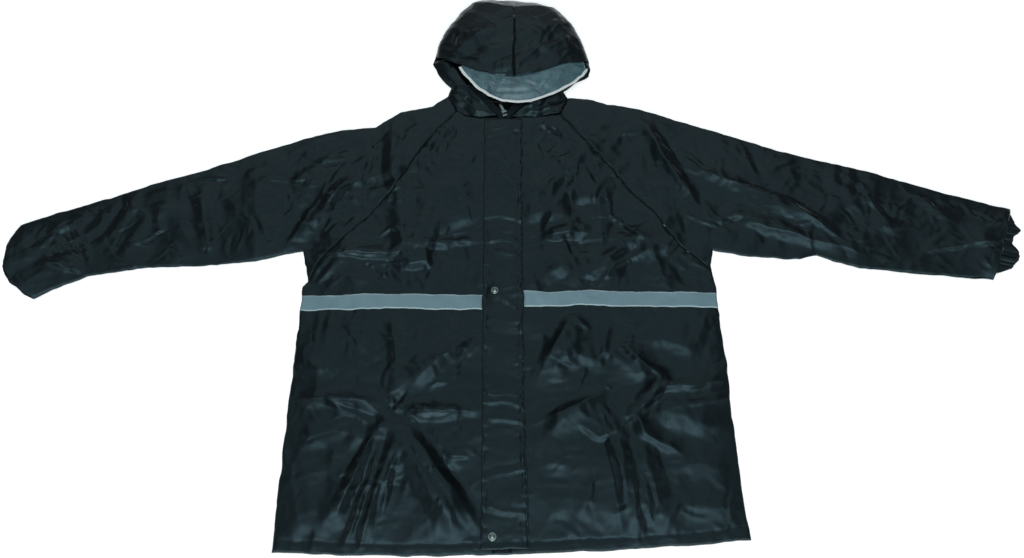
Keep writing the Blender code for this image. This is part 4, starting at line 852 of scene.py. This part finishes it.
# die-cast slider and tab: pale metal, dulled in patches by handling
plated, tree, shader, wear = two_toned(
    "zinc_alloy_nickel_plated", "ShaderNodeTexNoise", {}, {"Scale": 420.0, "Detail": 4.0},
    "#68787c", "#9aa9ab", Metallic=1.0)
dull = put(tree, "ShaderNodeMapRange", {}, {"Value": wear, "To Min": 0.2, "To Max": 0.45})
tree.links.new(dull.outputs[0], shader.inputs["Roughness"])
for node in ("zip_slider", "zip_pull"):
    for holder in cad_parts[node].material_slots:
        holder.material = plated

# ---- Storm flap and its snaps -----------------------------------------------------------
# A doubled strip of the cloth, stitched to the left front and laid over the zip. Its free edge
# is topstitched and held by two snap fasteners, whose pressed caps show.
FLAP_EDGE = [(-43, -431), (-45, -240), (-46, -20), (-48, 150), (-49, 321)]
FLAP_SEAM = [(25, -430), (19, -240), (17.5, -20), (17.5, 150), (18, 321)]
FLAP_ABOVE, FLAP_TURN, FLAP_GAP = 1.7, 1.6, 0.2
FLAP_FOOT = [(-44, -418), (26, -417)]
FLAP_STITCHES = [(FLAP_EDGE, 4.5, 80), (FLAP_SEAM, -2.2, 82), (FLAP_SEAM, -9.0, 84)]  # (line, aside, seed)
SNAP_PLACES, SNAP_RADIUS, SNAP_SIDES, SNAP_SUNK = [(-28.0, -25.0), (-27.0, -413.0)], 6.3, 48, 0.3
SNAP_CALM = 9.0  # the snap holds the flap flat as far as this
SNAP_PROFILE = [(1.0, 0.0), (1.03, 0.3), (1.0, 0.75), (0.9, 1.15), (0.8, 1.2), (0.72, 1.05),
                (0.6, 1.35), (0.4, 1.9), (0.2, 2.2), (0.03, 2.3)]  # (share of the radius, mm)
# (rise, reach, lean, points) as for the fronts
FLAP_CREASES = [
    (1.6, 5, 0.3, [(-47, 300), (-10, 306), (17, 296)]), (1.3, 5, 0.0, [(-47, 286), (17, 283)]),
    (1.6, 5, 0.3, [(-46, 112), (-12, 118), (17, 108)]), (1.8, 6, 0.0, [(-46, 92), (17, 88)]),
    (1.8, 6, 0.4, [(-46, 66), (-15, 72), (17, 64)]), (1.5, 5, 0.0, [(-46, 50), (17, 42)]),
    (1.6, 5, 0.0, [(-45, -196), (18, -204)]), (1.9, 6, 0.4, [(-45, -216), (-14, -210), (18, -222)]),
    (1.6, 5, 0.0, [(-45, -238), (18, -246)]), (1.4, 5, 0.0, [(-28, -40), (-44, -62)]),
    (1.4, 5, 0.0, [(-26, -10), (-44, 8)]), (1.4, 5, 0.0, [(-20, -24), (14, -14)]),
    (1.4, 5, 0.0, [(-22, -34), (10, -58)]), (1.5, 6, 0.0, [(-44, -330), (20, -316)]),
    (1.3, 5, 0.0, [(-44, -372), (22, -382)]), (1.2, 5, 0.0, [(-46, 200), (17, 212)]),
]


def beside(line, by):
    """A line moved straight to the wearer's left."""
    return [(px + by, py) for px, py in line]


def flap_top(x, y):
    """Outer face of the flap over the fronts: turned edges, stitch grooves, puckers, creases."""
    across = np.interp(y, [p[1] for p in FLAP_EDGE], [p[0] for p in FLAP_EDGE])
    seam = np.interp(y, [p[1] for p in FLAP_SEAM], [p[0] for p in FLAP_SEAM])
    free = np.clip((x - across) / FLAP_TURN, 0, 1)
    held = np.clip((seam - x) / FLAP_TURN, 0, 1)
    edges = np.sqrt(1 - (1 - free) ** 2) * (0.35 + 0.65 * np.sqrt(1 - (1 - held) ** 2))
    height = upper_top(x, y) + FLAP_ABOVE * edges + sewn(x, y, FLAP_FOOT, 0.5, 0.5, 7, 5, 88)
    for line, by, seed in FLAP_STITCHES:
        height = height + sewn(x, y, beside(line, by), 0.6, 1.2, 7, 5, seed)
    snaps = sum(np.exp(-(np.hypot(x - sx, y - sy) / SNAP_CALM) ** 2) for sx, sy in SNAP_PLACES)
    creases = creased(x, y, FLAP_CREASES, 86) + 0.6 * crumple(x, y, 87)
    return height + creases * (1 - 0.8 * snaps) + FLAP_GAP


flap_grid = coons(FLAP_EDGE, FLAP_SEAM, [FLAP_EDGE[0], FLAP_SEAM[0]], [FLAP_EDGE[-1], FLAP_SEAM[-1]],
                  steps(750, 2.8), steps(66, 2.4, (1, 1)))
x, y = flap_grid[..., 0], flap_grid[..., 1]
flap = cloth("storm_flap_cloth", np.dstack([x, y, flap_top(x, y)]), taffeta, wall=0.8)
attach(flap, "root")
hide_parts("storm_flap")

flap_lines = []
for line, by, _ in FLAP_STITCHES:
    flat = at_shares(beside(line, by), np.linspace(0.003, 0.997, 260))
    flap_lines.append(np.column_stack([flat, flap_top(flat[:, 0], flat[:, 1])]))
flap_stitches = stitches("flap_stitches", flap_lines, thread)
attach(flap_stitches, "root")

# pressed caps: a pale grey-green finish with a soft shine
snap_metal, *_ = two_toned("snap_brass_nickel_plated", "ShaderNodeTexNoise", {},
                           {"Scale": 500.0, "Detail": 3.0}, "#62726f", "#93a19d",
                           Metallic=1.0, Roughness=0.25)
for k, (sx, sy) in enumerate(SNAP_PLACES):
    turn = np.linspace(0, 2 * math.pi, SNAP_SIDES, endpoint=False)
    base = float(flap_top(np.array([sx]), np.array([sy]))[0]) - SNAP_SUNK
    sx, sy = (float(v) for v in wander(sx, sy))
    ring = np.stack([np.column_stack([sx + SNAP_RADIUS * r * np.cos(turn),
                                      sy + SNAP_RADIUS * r * np.sin(turn),
                                      0 * turn + base + h]) for r, h in SNAP_PROFILE])
    count = len(SNAP_PROFILE) * SNAP_SIDES
    faces = grid_faces(len(SNAP_PROFILE), SNAP_SIDES, True).tolist()
    faces.append(list(range(count - SNAP_SIDES, count)))
    faces.append(list(range(SNAP_SIDES))[::-1])
    snap = mesh_object(f"snap_cap_{k + 1}", ring, faces, snap_metal)
    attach(snap, "root")
    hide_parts(f"snap_{k + 1}")

# ---- Reflective tape --------------------------------------------------------------------
# Grey tape faced with glass beads, about 27 mm wide, stitched along both edges across each
# front. It shines evenly and has a paler selvedge on each side.
TAPE_RIGHT = [(-331, -46), (-260, -46), (-184, -43), (-120, -45), (-47, -45)]
TAPE_LEFT = [(19, -40), (80, -40), (125, -37), (160, -40), (220, -40), (323, -41)]
TAPE_WIDTH, TAPE_ABOVE, TAPE_GAP, TAPE_SELVEDGE = 27.0, 1.0, 0.15, 2.2
TAPE_STITCHES = (-0.86, 0.86)  # shares of its half width

# an even pale grey, lighter along the selvedge, with the faint grain of the beads
beads, tree, shader = material("reflective_tape_glass_bead", Roughness=0.42, Specular_IOR_Level=0.6)
place = put(tree, "ShaderNodeTexCoord", {}, {}).outputs["Object"]
cells = put(tree, "ShaderNodeTexVoronoi", {}, {"Vector": place, "Scale": 900.0})
edge = put(tree, "ShaderNodeAttribute", {"attribute_name": "selvedge"}, {})
tone = put(tree, "ShaderNodeTexNoise", {}, {"Vector": place, "Scale": 25.0, "Detail": 3.0})
grey = put(tree, "ShaderNodeMix", {"data_type": "RGBA"},
           {0: tone.outputs[0], 6: linear("#6a8994"), 7: linear("#7d9ca7")})
pale = put(tree, "ShaderNodeMix", {"data_type": "RGBA"},
           {0: edge.outputs["Fac"], 6: grey.outputs[2], 7: linear("#b0cad1")})
bump = put(tree, "ShaderNodeBump", {}, {"Strength": 0.3, "Distance": 0.00008, "Height": cells.outputs[0]})
tree.links.new(pale.outputs[2], shader.inputs["Base Color"])
tree.links.new(bump.outputs[0], shader.inputs["Normal"])

tape_lines = []
for side, line, carrier in (("right", TAPE_RIGHT, front_right), ("left", TAPE_LEFT, front_left)):
    middle = at_shares(line, steps(300, 3.0))
    v = np.unique(np.concatenate([np.linspace(-1, 1, 11), [-0.97, 0.97, -0.9, 0.9]]))
    grid = np.stack([middle + (0, t * TAPE_WIDTH / 2) for t in v], axis=1)
    x, y = grid[..., 0], grid[..., 1]
    turned = np.sqrt(1 - np.clip((np.abs(v) - 0.94) / 0.06, 0, 1) ** 2)[None]
    ripple = 0.35 * noise(x, 0 * y, 13, 95) * np.abs(v)[None]
    z = upper_top(x, y) + TAPE_GAP + TAPE_ABOVE * turned + ripple
    tape = cloth(f"reflective_tape_{side}", np.dstack([x, y, z]), beads, wall=0.5)
    shade = np.clip((np.abs(v) * TAPE_WIDTH / 2 - (TAPE_WIDTH / 2 - TAPE_SELVEDGE)) / 0.6, 0, 1)
    layer = tape.data.attributes.new("selvedge", "FLOAT", "POINT")
    layer.data.foreach_set("value", np.tile(shade, len(middle)).astype(np.float32))
    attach(tape, "root")
    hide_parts(f"tape_{side}")
    for t in TAPE_STITCHES:
        row = middle + (0, t * TAPE_WIDTH / 2)
        tape_lines.append(np.column_stack([row, upper_top(row[:, 0], row[:, 1]) + 0.1 + TAPE_ABOVE]))

# the same thread in the tape's grey
tape_thread, *_ = two_toned("polyester_thread_grey", "ShaderNodeTexNoise", {}, {"Scale": 900.0},
                            "#5b737b", "#8aa0a6", Roughness=0.5)
tape_stitches = stitches("tape_stitches", tape_lines, tape_thread)
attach(tape_stitches, "root")

# ---- Collar -----------------------------------------------------------------------------
# A low stand collar in the same cloth: two halves from the open zip round to the shoulders,
# and a back piece. It joins the hood to the neck seam.
COLLAR_SIDE_RIGHT, COLLAR_SIDE_LEFT, COLLAR_HEIGHT = (-108, 395), (92, 388), 60
COLLAR_BACK_Z, COLLAR_BACK_CREASE = 0.9, 0.3
COLLAR_BACK_TOP = [COLLAR_SIDE_RIGHT, (-70, 402), (60, 400), COLLAR_SIDE_LEFT]
COLLAR_CREASES = [
    (2.0, 6, 0.0, [(-96, 362), (-62, 340), (-34, 336)]), (-1.6, 5, 0.0, [(-104, 378), (-70, 352)]),
    (1.6, 5, 0.0, [(-80, 384), (-48, 352)]), (2.0, 6, 0.0, [(84, 352), (50, 340), (22, 338)]),
    (-1.6, 5, 0.0, [(92, 372), (56, 352)]), (1.6, 5, 0.0, [(64, 384), (34, 350)]),
]


def collar_half(side, sign, neck, shoulder, collar_side, corner):
    """Half the collar: a grid from the neck seam to its top edge, and from the zip to its side;
    its height climbs towards the top edge by the zip."""
    foot = np.array([(ZIP_X + sign * (ZIP_TAPE / 2 + OPEN_SPREAD), OPEN_FOOT_Y), corner], float)
    ahead = (foot[1] - foot[0]) / np.linalg.norm(foot[1] - foot[0])
    outward = np.array([ahead[1], -ahead[0]])
    outward *= math.copysign(1, outward[0] * sign) * (ZIP_TAPE / 2 + 0.2)
    start, end = foot + outward
    neck_line = [(start[0], start[1]), *[(px, py + 0.3) for px, py in neck[-2::-1]], shoulder]
    t, s = np.linspace(0, 1, 26), np.linspace(0, 1, 46)
    low, high = at_shares(neck_line, s), at_shares([end, collar_side], s)
    grid = low[None] * (1 - t[:, None, None]) + high[None] * t[:, None, None]
    x, y = grid[..., 0], grid[..., 1]
    rise = COLLAR_RISE * t[:, None] * (1 - s[None] ** 3)
    seam = 0.4 * np.exp(-(t[:, None] * COLLAR_HEIGHT / 2.0) ** 2)
    fine = 1.5 * creased(x, y, COLLAR_CREASES, 140) + 2.0 * facets(x, y, 52) - seam
    z = upper_top(x, y) + rise + fine * 0.9
    made = cloth(f"collar_{side}_cloth", np.dstack([x, y, np.maximum(z, LOWEST)]), taffeta)
    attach(made, "root")
    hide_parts(f"collar_{side}")
    return np.dstack([x, y, z])[-1]


top_right = collar_half("right", -1, NECK_RIGHT, SHOULDER_RIGHT, COLLAR_SIDE_RIGHT, COLLAR_CORNER_RIGHT)
top_left = collar_half("left", 1, NECK_LEFT, SHOULDER_LEFT, COLLAR_SIDE_LEFT, COLLAR_CORNER_LEFT)
back_foot = [SHOULDER_RIGHT, *BACK_NECK, SHOULDER_LEFT]
t, s = np.linspace(0, 1, 9)[:, None, None], np.linspace(0, 1, 50)
grid = at_shares(back_foot, s)[None] * (1 - t) + at_shares(COLLAR_BACK_TOP, s)[None] * t
x, y = grid[..., 0], grid[..., 1]
z = COLLAR_BACK_Z + COLLAR_BACK_CREASE * crumple(x, y, 150)
collar_back = cloth("collar_back_cloth", np.dstack([x, y, z]), taffeta)
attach(collar_back, "root")
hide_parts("collar_back")

# ---- Hood -------------------------------------------------------------------------------
# A back piece on the table, two crown panels that meet in a seam over the middle, and a cheek
# on each side of the face. The crown stands up in a soft dome and dents where it is folded.
HOOD_RIGHT = [(-108, 395), (-125, 414), (-137, 433), (-145, 455), (-141, 467), (-137, 492),
              (-129, 522), (-115, 553), (-92, 590), (-77, 606), (-61, 613), (-30, 615)]
HOOD_LEFT = [(92, 388), (115, 410), (139, 422), (144, 437), (142, 461), (134, 491),
             (125, 522), (113, 553), (84, 591), (61, 601), (34, 609)]
BRIM = [(-139, 467), (-124, 455), (-107, 443), (-91, 433), (-77, 423), (-50, 411), (-26, 402),
        (4, 399), (18, 401), (47, 411), (77, 426), (99, 437), (127, 446), (142, 458)]
HOOD_SEAM_X, BRIM_Y, CROWN_Y, CROWN_CROWDING = 4.0, 399, 613.0, 1.4
CROWN_PROFILE = [(BRIM_Y, 31), (440, 33), (490, 34), (535, 32), (575, 26), (600, 15), (613, 6)]
HOOD_FOLDS = [(-2.4, 16, (-52, 588), (-4, 556)), (-2.4, 16, (-4, 556), (52, 580)),
              (4.0, 12, (100, 560), (45, 500)), (3.0, 12, (-112, 520), (-60, 500))]
HOOD_CREASES = [
    (-2.2, 9, 0.0, [(-63, 561), (-28, 523), (15, 536), (62, 561)]),
    (2.4, 7, 0.3, [(20, 531), (51, 498)]),
    (2.2, 7, 0.0, [(66, 481), (33, 449)]),
    (2.4, 8, 0.3, [(116, 510), (51, 456)]),
    (2.4, 7, 0.0, [(-131, 486), (-103, 461)]),
    (2.2, 7, 0.3, [(-104, 466), (-49, 437)]),
    (2.2, 3, 0.0, [(-16, 437), (-14, 406)]),
    (2.2, 3, 0.0, [(-2, 437), (-4, 404)]),
    (1.8, 3, 0.0, [(-30, 432), (-27, 412)]),
    (1.8, 3, 0.0, [(14, 430), (12, 406)]),
    (2.4, 6, 0.3, [(-118, 560), (-96, 520), (-100, 480)]),
    (2.6, 6, -0.3, [(-80, 600), (-70, 560), (-40, 548)]),
    (-2.2, 7, 0.0, [(-96, 540), (-70, 500)]),
    (2.2, 5, 0.0, [(30, 560), (62, 520), (70, 500)]),
    (2.0, 4, 0.0, [(98, 540), (66, 496), (54, 462)]),
    (1.8, 4, 0.0, [(122, 480), (92, 452)]),
]
# (rise, reach to the left of its way, reach to the right, points)
HOOD_SWELLS = [
    (4.5, 22, 34, [(-75, 572), (-59, 526), (-36, 476)]),
    (4.0, 30, 18, [(-7, 551), (33, 531), (66, 486)]),
    (3.6, 30, 22, [(-113, 471), (-62, 486), (-22, 456)]),
    (3.6, 20, 30, [(82, 551), (99, 510), (109, 456)]),
    (3.0, 26, 26, [(7, 461), (51, 476), (90, 451)]),
]
CROWN_CALM = ([470, 580], [1, 0.12])  # the creases fade towards the crown's far end (y, share)
CALM_BELOW, CALM_OVER = 5, 20  # and below this height, over this height
BRIM_HEM = 7  # from the brim's edge to its stitches
HOOD_BACK_Z, HOOD_BACK_CREASE = 0.85, 0.25
CHEEK_MID, CHEEK_WIDTH = 11.0, {"right": 24.0, "left": 10.0}
CHEEK_EDGE_DROP, CHEEK_TOP_DROP, CHEEK_FACE_DROP, CHEEK_HEIGHT = 8, 6, 10, 70


def developed(points):
    """Size and area in square metres of a cut that is shaped to a smooth curved grid: its longest
    row, its longest column, and the sum of its faces."""
    across = np.linalg.norm(np.diff(points, axis=1), axis=2).sum(1).max() * MM
    along = np.linalg.norm(np.diff(points, axis=0), axis=2).sum(0).max() * MM
    cross = np.cross(points[1:, 1:] - points[:-1, :-1], points[1:, :-1] - points[:-1, 1:])
    return (float(across), float(along)), float(np.linalg.norm(cross, axis=2).sum() / 2) * MM * MM


def crown(side, edge, sign):
    """Half the crown: a grid from the hood's edge to the middle seam; its height is a half
    ellipse across, from the edge up to the seam's profile, with the folds on it."""
    brim = BRIM if sign < 0 else BRIM[::-1]
    brim = [p for p in brim if sign * (p[0] - HOOD_SEAM_X) > 0.5] + [(HOOD_SEAM_X, BRIM_Y)]
    above = [p for p in edge if p[1] > brim[0][1] + 1]
    outer = at_shares([brim[0], *above, (HOOD_SEAM_X + sign * 2, CROWN_Y + 1)], np.linspace(0, 11 / 14, 60))
    columns = np.linspace(0, 1, 54) ** CROWN_CROWDING
    seam = [(HOOD_SEAM_X, BRIM_Y), (HOOD_SEAM_X, CROWN_Y)]
    grid = coons(outer, seam, brim, [outer[-1], seam[-1]], np.linspace(0, 1, 70), columns)
    x, y = grid[..., 0], grid[..., 1]
    middle = np.interp(y[:, -1], *np.array(CROWN_PROFILE, float).T)[:, None]
    off = np.clip(np.abs(x - HOOD_SEAM_X) / np.maximum(np.abs(x[:, :1] - HOOD_SEAM_X), 1), 0, 1)
    dome = np.sqrt(1 - off ** 2)
    z = UPPER_EDGE_MID + (middle - UPPER_EDGE_MID) * dome
    soft = np.clip((z - CALM_BELOW) / CALM_OVER, 0, 1) * np.interp(y, *CROWN_CALM)
    z = z + (folded(x, y, HOOD_FOLDS) + creased(x, y, HOOD_CREASES, 160) + 1.2 * crumple(x, y, 165)
             + tented(x, y, HOOD_SWELLS) + 1.5 * facets(x, y, 50)) * soft
    z += sewn(x, y, seam, 0.12, 0.6, 8, 8, 170) * soft
    z += sewn(x, y, shifted(BRIM, BRIM_HEM), 0.25, 0.6, 8, 7, 172) * soft
    points = np.dstack([x, y, z + HALF_CLOTH])
    made = cloth(f"hood_crown_{side}_cloth", points, taffeta)
    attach(made, "root")
    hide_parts(f"hood_crown_{side}")
    return points


crown_right = crown("right", HOOD_RIGHT, -1)
crown_left = crown("left", HOOD_LEFT, 1)


def cheek(side, sign, collar_top, edge, corner):
    """The hood's side below the brim: rows climb from the collar's top edge to the brim."""
    cx, cy = corner
    low = [p for p in edge if p[1] < cy - CHEEK_EDGE_DROP]
    shares = np.linspace(0, 1, 30)
    outer = at_shares([collar_top[-1, :2], *low[1:], (cx, cy - CHEEK_TOP_DROP)], shares)
    face = at_shares([collar_top[0, :2], (cx - sign * CHEEK_WIDTH[side], cy - CHEEK_FACE_DROP)], shares)
    s, t = np.linspace(0, 1, len(collar_top))[None, :, None], shares[:, None]
    grid = face[:, None] * (1 - s) + outer[:, None] * s
    grid[0] = collar_top[:, :2]
    arch = np.cos(math.pi / 2 * s[..., 0])
    top = UPPER_EDGE_MID + HALF_CLOTH + (CHEEK_MID - UPPER_EDGE_MID) * arch
    z = collar_top[None, :, 2] * (1 - t) + top * t
    x, y = grid[..., 0], grid[..., 1]
    creases = (0.9 * crumple(x, y, 180) + 1.3 * facets(x, y, 54)) * np.clip(t * 4, 0, 1)
    z = z + creases - 0.8 * np.exp(-(t * CHEEK_HEIGHT / 2.5) ** 2)
    made = cloth(f"hood_cheek_{side}_cloth", np.dstack([x, y, np.maximum(z, 2.0)]), taffeta)
    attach(made, "root")
    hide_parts(f"hood_cheek_{side}")


cheek("right", -1, top_right, HOOD_RIGHT, BRIM[0])
cheek("left", 1, top_left, HOOD_LEFT, BRIM[-1])

hood_grid = coons(HOOD_RIGHT, HOOD_LEFT, COLLAR_BACK_TOP, [HOOD_RIGHT[-1], HOOD_LEFT[-1]],
                  np.linspace(0, 1, 40), np.linspace(0, 1, 44))
x, y = hood_grid[..., 0], hood_grid[..., 1]
z = HOOD_BACK_Z + HOOD_BACK_CREASE * crumple(x, y, 185)
hood_back = cloth("hood_back_cloth", np.dstack([x, y, z]), taffeta)
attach(hood_back, "root")
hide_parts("hood_back")

hood_lines = [crown_right[2, 3:], crown_left[2, 3:]]
hood_stitches = stitches("hood_stitches", hood_lines, thread)
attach(hood_stitches, "root")

# ---- Visor and its binding --------------------------------------------------------------
# A crescent of soft smoky PVC film sewn in under the hood's brim, wrinkled from packing. A
# white tape is folded over its free edge and stitched through.
VISOR_ARC = [(-92, 432), (-79, 410), (-61, 388), (-39, 369), (-16, 359), (8, 356),
             (32, 358), (59, 368), (86, 382), (109, 400), (125, 417), (134, 436)]
VISOR_TUCK, VISOR_BELOW_BRIM, VISOR_EDGE, VISOR_BELLY = 5.0, 3.08, 17.5, 2.0
VISOR_TOP, VISOR_NARROWER, EDGE_BELOW = 34, 0.04, 2.0
BINDING_WIDTH, BINDING_HALF, BINDING_GAP, BINDING_SIDES = 5.5, 0.9, 0.2, 16
VISOR_CREASES = [
    (2.6, 3, 0.0, [(-22, 398), (-8, 388)]), (-2.4, 3, 0.0, [(-14, 390), (2, 382)]),
    (2.6, 3, 0.0, [(26, 396), (42, 388)]), (2.2, 3, 0.0, [(52, 398), (64, 386)]),
    (-2.2, 3, 0.0, [(-30, 374), (4, 370), (34, 374)]), (2.0, 3, 0.0, [(70, 412), (58, 396), (46, 380)]),
    (2.2, 4, 0.0, [(-62, 404), (-36, 382)]), (2.0, 4, 0.0, [(96, 418), (78, 400)]),
    (-2.0, 3, 0.0, [(8, 394), (20, 386)]), (1.8, 3, 0.0, [(-48, 396), (-30, 390)]),
]

# clear film clouded by plasticiser: milky grey, with a wet shine along its wrinkles
film, tree, shader = material("visor_pvc_film_calendered", Roughness=0.22, Alpha=0.82,
                              Specular_IOR_Level=0.6)
place = put(tree, "ShaderNodeTexCoord", {}, {}).outputs["Object"]
cloud = put(tree, "ShaderNodeTexNoise", {}, {"Vector": place, "Scale": 45.0, "Detail": 5.0,
                                             "Distortion": 1.0})
milky = put(tree, "ShaderNodeMapRange", {}, {"Value": cloud.outputs[0], "From Min": 0.28, "From Max": 0.7})
colour = put(tree, "ShaderNodeMix", {"data_type": "RGBA"},
             {0: milky.outputs[0], 6: linear("#385660"), 7: linear("#5f838d")})
bump = put(tree, "ShaderNodeBump", {}, {"Strength": 0.5, "Distance": 0.0008, "Height": cloud.outputs[0]})
tree.links.new(colour.outputs[2], shader.inputs["Base Color"])
tree.links.new(bump.outputs[0], shader.inputs["Normal"])

free = at_shares(VISOR_ARC, np.linspace(0, 1, 90))
vx = free[:, 0] + (HOOD_SEAM_X - free[:, 0]) * VISOR_NARROWER
vy = np.maximum(np.interp(vx, *np.array(BRIM, float).T), free[:, 1]) + VISOR_TUCK
half = np.where(vx < HOOD_SEAM_X, HOOD_SEAM_X - BRIM[0][0], BRIM[-1][0] - HOOD_SEAM_X)
vz = np.sqrt(1 - np.clip(np.abs(vx - HOOD_SEAM_X) / half, 0, 1) ** 2)
vz = UPPER_EDGE_MID + (VISOR_TOP - UPPER_EDGE_MID) * vz - VISOR_BELOW_BRIM
bend = np.abs(np.linspace(-1, 1, len(free))) ** 3
free_z = VISOR_EDGE + (vz - EDGE_BELOW - VISOR_EDGE) * bend
t = np.linspace(0, 1, 22)[:, None]
x, y = vx[None] * (1 - t) + free[None, :, 0] * t, vy[None] * (1 - t) + free[None, :, 1] * t
z = vz[None] * (1 - t) + free_z[None] * t + VISOR_BELLY * np.sin(math.pi * t)
z = z + creased(x, y, VISOR_CREASES, 190) * np.sin(math.pi * t) ** 0.5
visor = cloth("visor_film", np.dstack([x, y, z]), film, wall=0.3)
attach(visor, "root")
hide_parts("visor")
size, area = developed(np.dstack([x, y, z]))

# bright white tape with slanting ribs, drawn 1.3 mm apart
white, tree, shader, ribs = two_toned(
    "binding_tape_woven_cotton", "ShaderNodeTexWave", {"bands_direction": "DIAGONAL"}, {"Scale": 350.0},
    "#dfe9e9", "#f7fbfb", Roughness=0.7, Sheen_Weight=0.2)
bump = put(tree, "ShaderNodeBump", {}, {"Strength": 0.5, "Distance": 0.00015, "Height": ribs})
tree.links.new(bump.outputs[0], shader.inputs["Normal"])

ahead = np.gradient(np.column_stack([free, free_z]), axis=0)
out = np.column_stack([ahead[:, 1], -ahead[:, 0]])
out /= np.linalg.norm(out, axis=1, keepdims=True)
angles = np.linspace(0, 2 * math.pi, BINDING_SIDES, endpoint=False)
centre = np.column_stack([free + out * (BINDING_WIDTH / 2 + BINDING_GAP), free_z])
ring = np.stack([centre + np.column_stack([out * (BINDING_WIDTH / 2 * math.cos(a)),
                                           0 * free_z + BINDING_HALF * math.sin(a)])
                 for a in angles], axis=1)
binding = cloth("visor_binding_tape", ring, white, ring=True, wall=0.3)
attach(binding, "root")
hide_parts("visor_binding")

# ---- Studio -----------------------------------------------------------------------------
# A white table lit from below, soft light from above and a camera at the photograph's angle:
# 60 degrees above the table, 1.52 m away.
CAMERA_DISTANCE, CAMERA_TILT, FOCAL = 1.52, math.radians(60), 33.4
FLOOR_HALF, FLOOR_Z = 6000, -0.4

# an even white that the picture shows as plain ground
floor_look, tree, shader, _ = two_toned(
    "floor_white_acrylic_lit_from_below", "ShaderNodeTexNoise", {}, {"Scale": 3.0},
    "#f3f5f5", "#fbfcfc", Roughness=0.8, Emission_Strength=0.56)
tree.links.new(shader.inputs["Base Color"].links[0].from_socket, shader.inputs["Emission Color"])
floor = mesh_object("floor", [(a * FLOOR_HALF, b * FLOOR_HALF, FLOOR_Z)
                              for a, b in ((-1, -1), (1, -1), (1, 1), (-1, 1))],
                    [(0, 1, 2, 3)], floor_look)

camera_data = bpy.data.cameras.new("camera")
camera_data.lens, camera_data.sensor_width = FOCAL, 36
camera = bpy.data.objects.new("camera", camera_data)
bpy.context.scene.collection.objects.link(camera)
camera.location = (0, -CAMERA_DISTANCE * math.cos(CAMERA_TILT), CAMERA_DISTANCE * math.sin(CAMERA_TILT))
camera.rotation_euler = (math.pi / 2 - CAMERA_TILT, 0, 0)
bpy.context.scene.camera = camera

world = bpy.data.worlds.new("world")
world.use_nodes = True
tree = world.node_tree
# A strip of light that runs from left to right, 10 degrees from the zenith on the camera's side:
# (cosine of the angle from it, strength). It is brightest along its middle, with a dim gap at 26
# degrees, a broad weaker band round 54, and dark at the horizon. It fades to the left and right,
# and slow noise makes it uneven, as light in a room is.
DOME = [(0.0, 0.06), (0.30, 0.28), (0.45, 0.66), (0.59, 0.84), (0.70, 0.66), (0.77, 0.66), (0.84, 0.67),
        (0.90, 0.47), (0.93, 0.60), (0.96, 1.15), (1.0, 2.9)]
sky = put(tree, "ShaderNodeTexCoord", {}, {}).outputs["Generated"]
near = put(tree, "ShaderNodeVectorMath", {"operation": "DOT_PRODUCT"}, {0: sky, 1: (0, -0.17, 0.985)})
across = put(tree, "ShaderNodeSeparateXYZ", {}, {0: sky})
square = put(tree, "ShaderNodeMath", {"operation": "MULTIPLY"}, {0: across.outputs[0], 1: across.outputs[0]})
upright = put(tree, "ShaderNodeMath", {"operation": "SUBTRACT"}, {0: 1.0, 1: square.outputs[0]})
root = put(tree, "ShaderNodeMath", {"operation": "SQRT"}, {0: upright.outputs[0]})
turned = put(tree, "ShaderNodeMath", {"operation": "DIVIDE"}, {0: near.outputs["Value"], 1: root.outputs[0]})
level = put(tree, "ShaderNodeFloatCurve", {}, {"Value": turned.outputs[0]})
curve = level.mapping.curves[0]
for _ in DOME[2:]:
    curve.points.new(0.5, 0.5)
for point, (at, light) in zip(curve.points, DOME):
    point.location = (at, light / DOME[-1][1])
level.mapping.update()
cloud = put(tree, "ShaderNodeTexNoise", {}, {"Vector": sky, "Scale": 5.0, "Detail": 2.0})
uneven = put(tree, "ShaderNodeMapRange", {}, {
    "Value": cloud.outputs[0], "From Min": 0.36, "From Max": 0.64,
    "To Min": 0.5 * DOME[-1][1], "To Max": 1.5 * DOME[-1][1]})
sides = put(tree, "ShaderNodeMapRange", {"interpolation_type": "SMOOTHSTEP"}, {
    "Value": square.outputs[0], "From Min": 0.06, "From Max": 0.21, "To Min": 1.0, "To Max": 0.12})
middle = put(tree, "ShaderNodeMath", {"operation": "MULTIPLY"}, {0: level.outputs[0], 1: sides.outputs[0]})
strength = put(tree, "ShaderNodeMath", {"operation": "MULTIPLY"},
               {0: middle.outputs[0], 1: uneven.outputs[0]})
tree.nodes["Background"].inputs["Color"].default_value = linear("#e6f1f4")
tree.links.new(strength.outputs[0], tree.nodes["Background"].inputs["Strength"])
bpy.context.scene.world = world
bpy.context.scene.view_settings.view_transform = "Standard"

# Softboxes round the jacket, two weak ones at its sides and a strong one low in front: name,
# bearing and height in degrees (0 is past the hood, 90 the wearer's left), distance, size in
# metres, radiance.
LIGHTS = [
    ("side_right", -88, 36, 2.7, (1.4, 1.2), 0.45),
    ("side_left", 88, 36, 2.7, (1.4, 1.2), 0.4),
    ("front", 180, 30, 2.8, (2.8, 1.0), 3.0),
]
for name, bearing, high, distance, size, radiance in LIGHTS:
    data = bpy.data.lights.new(name, "AREA")
    data.shape, data.size, data.size_y = "RECTANGLE", *size
    data.energy = radiance * math.pi * size[0] * size[1]
    light = bpy.data.objects.new(name, data)
    bpy.context.scene.collection.objects.link(light)
    turn, tilt = math.radians(bearing), math.radians(high)
    light.location = (distance * math.sin(turn) * math.cos(tilt), distance * math.cos(turn) * math.cos(tilt),
                      distance * math.sin(tilt))
    light.rotation_euler = (math.pi / 2 - tilt, 0, math.pi - turn)
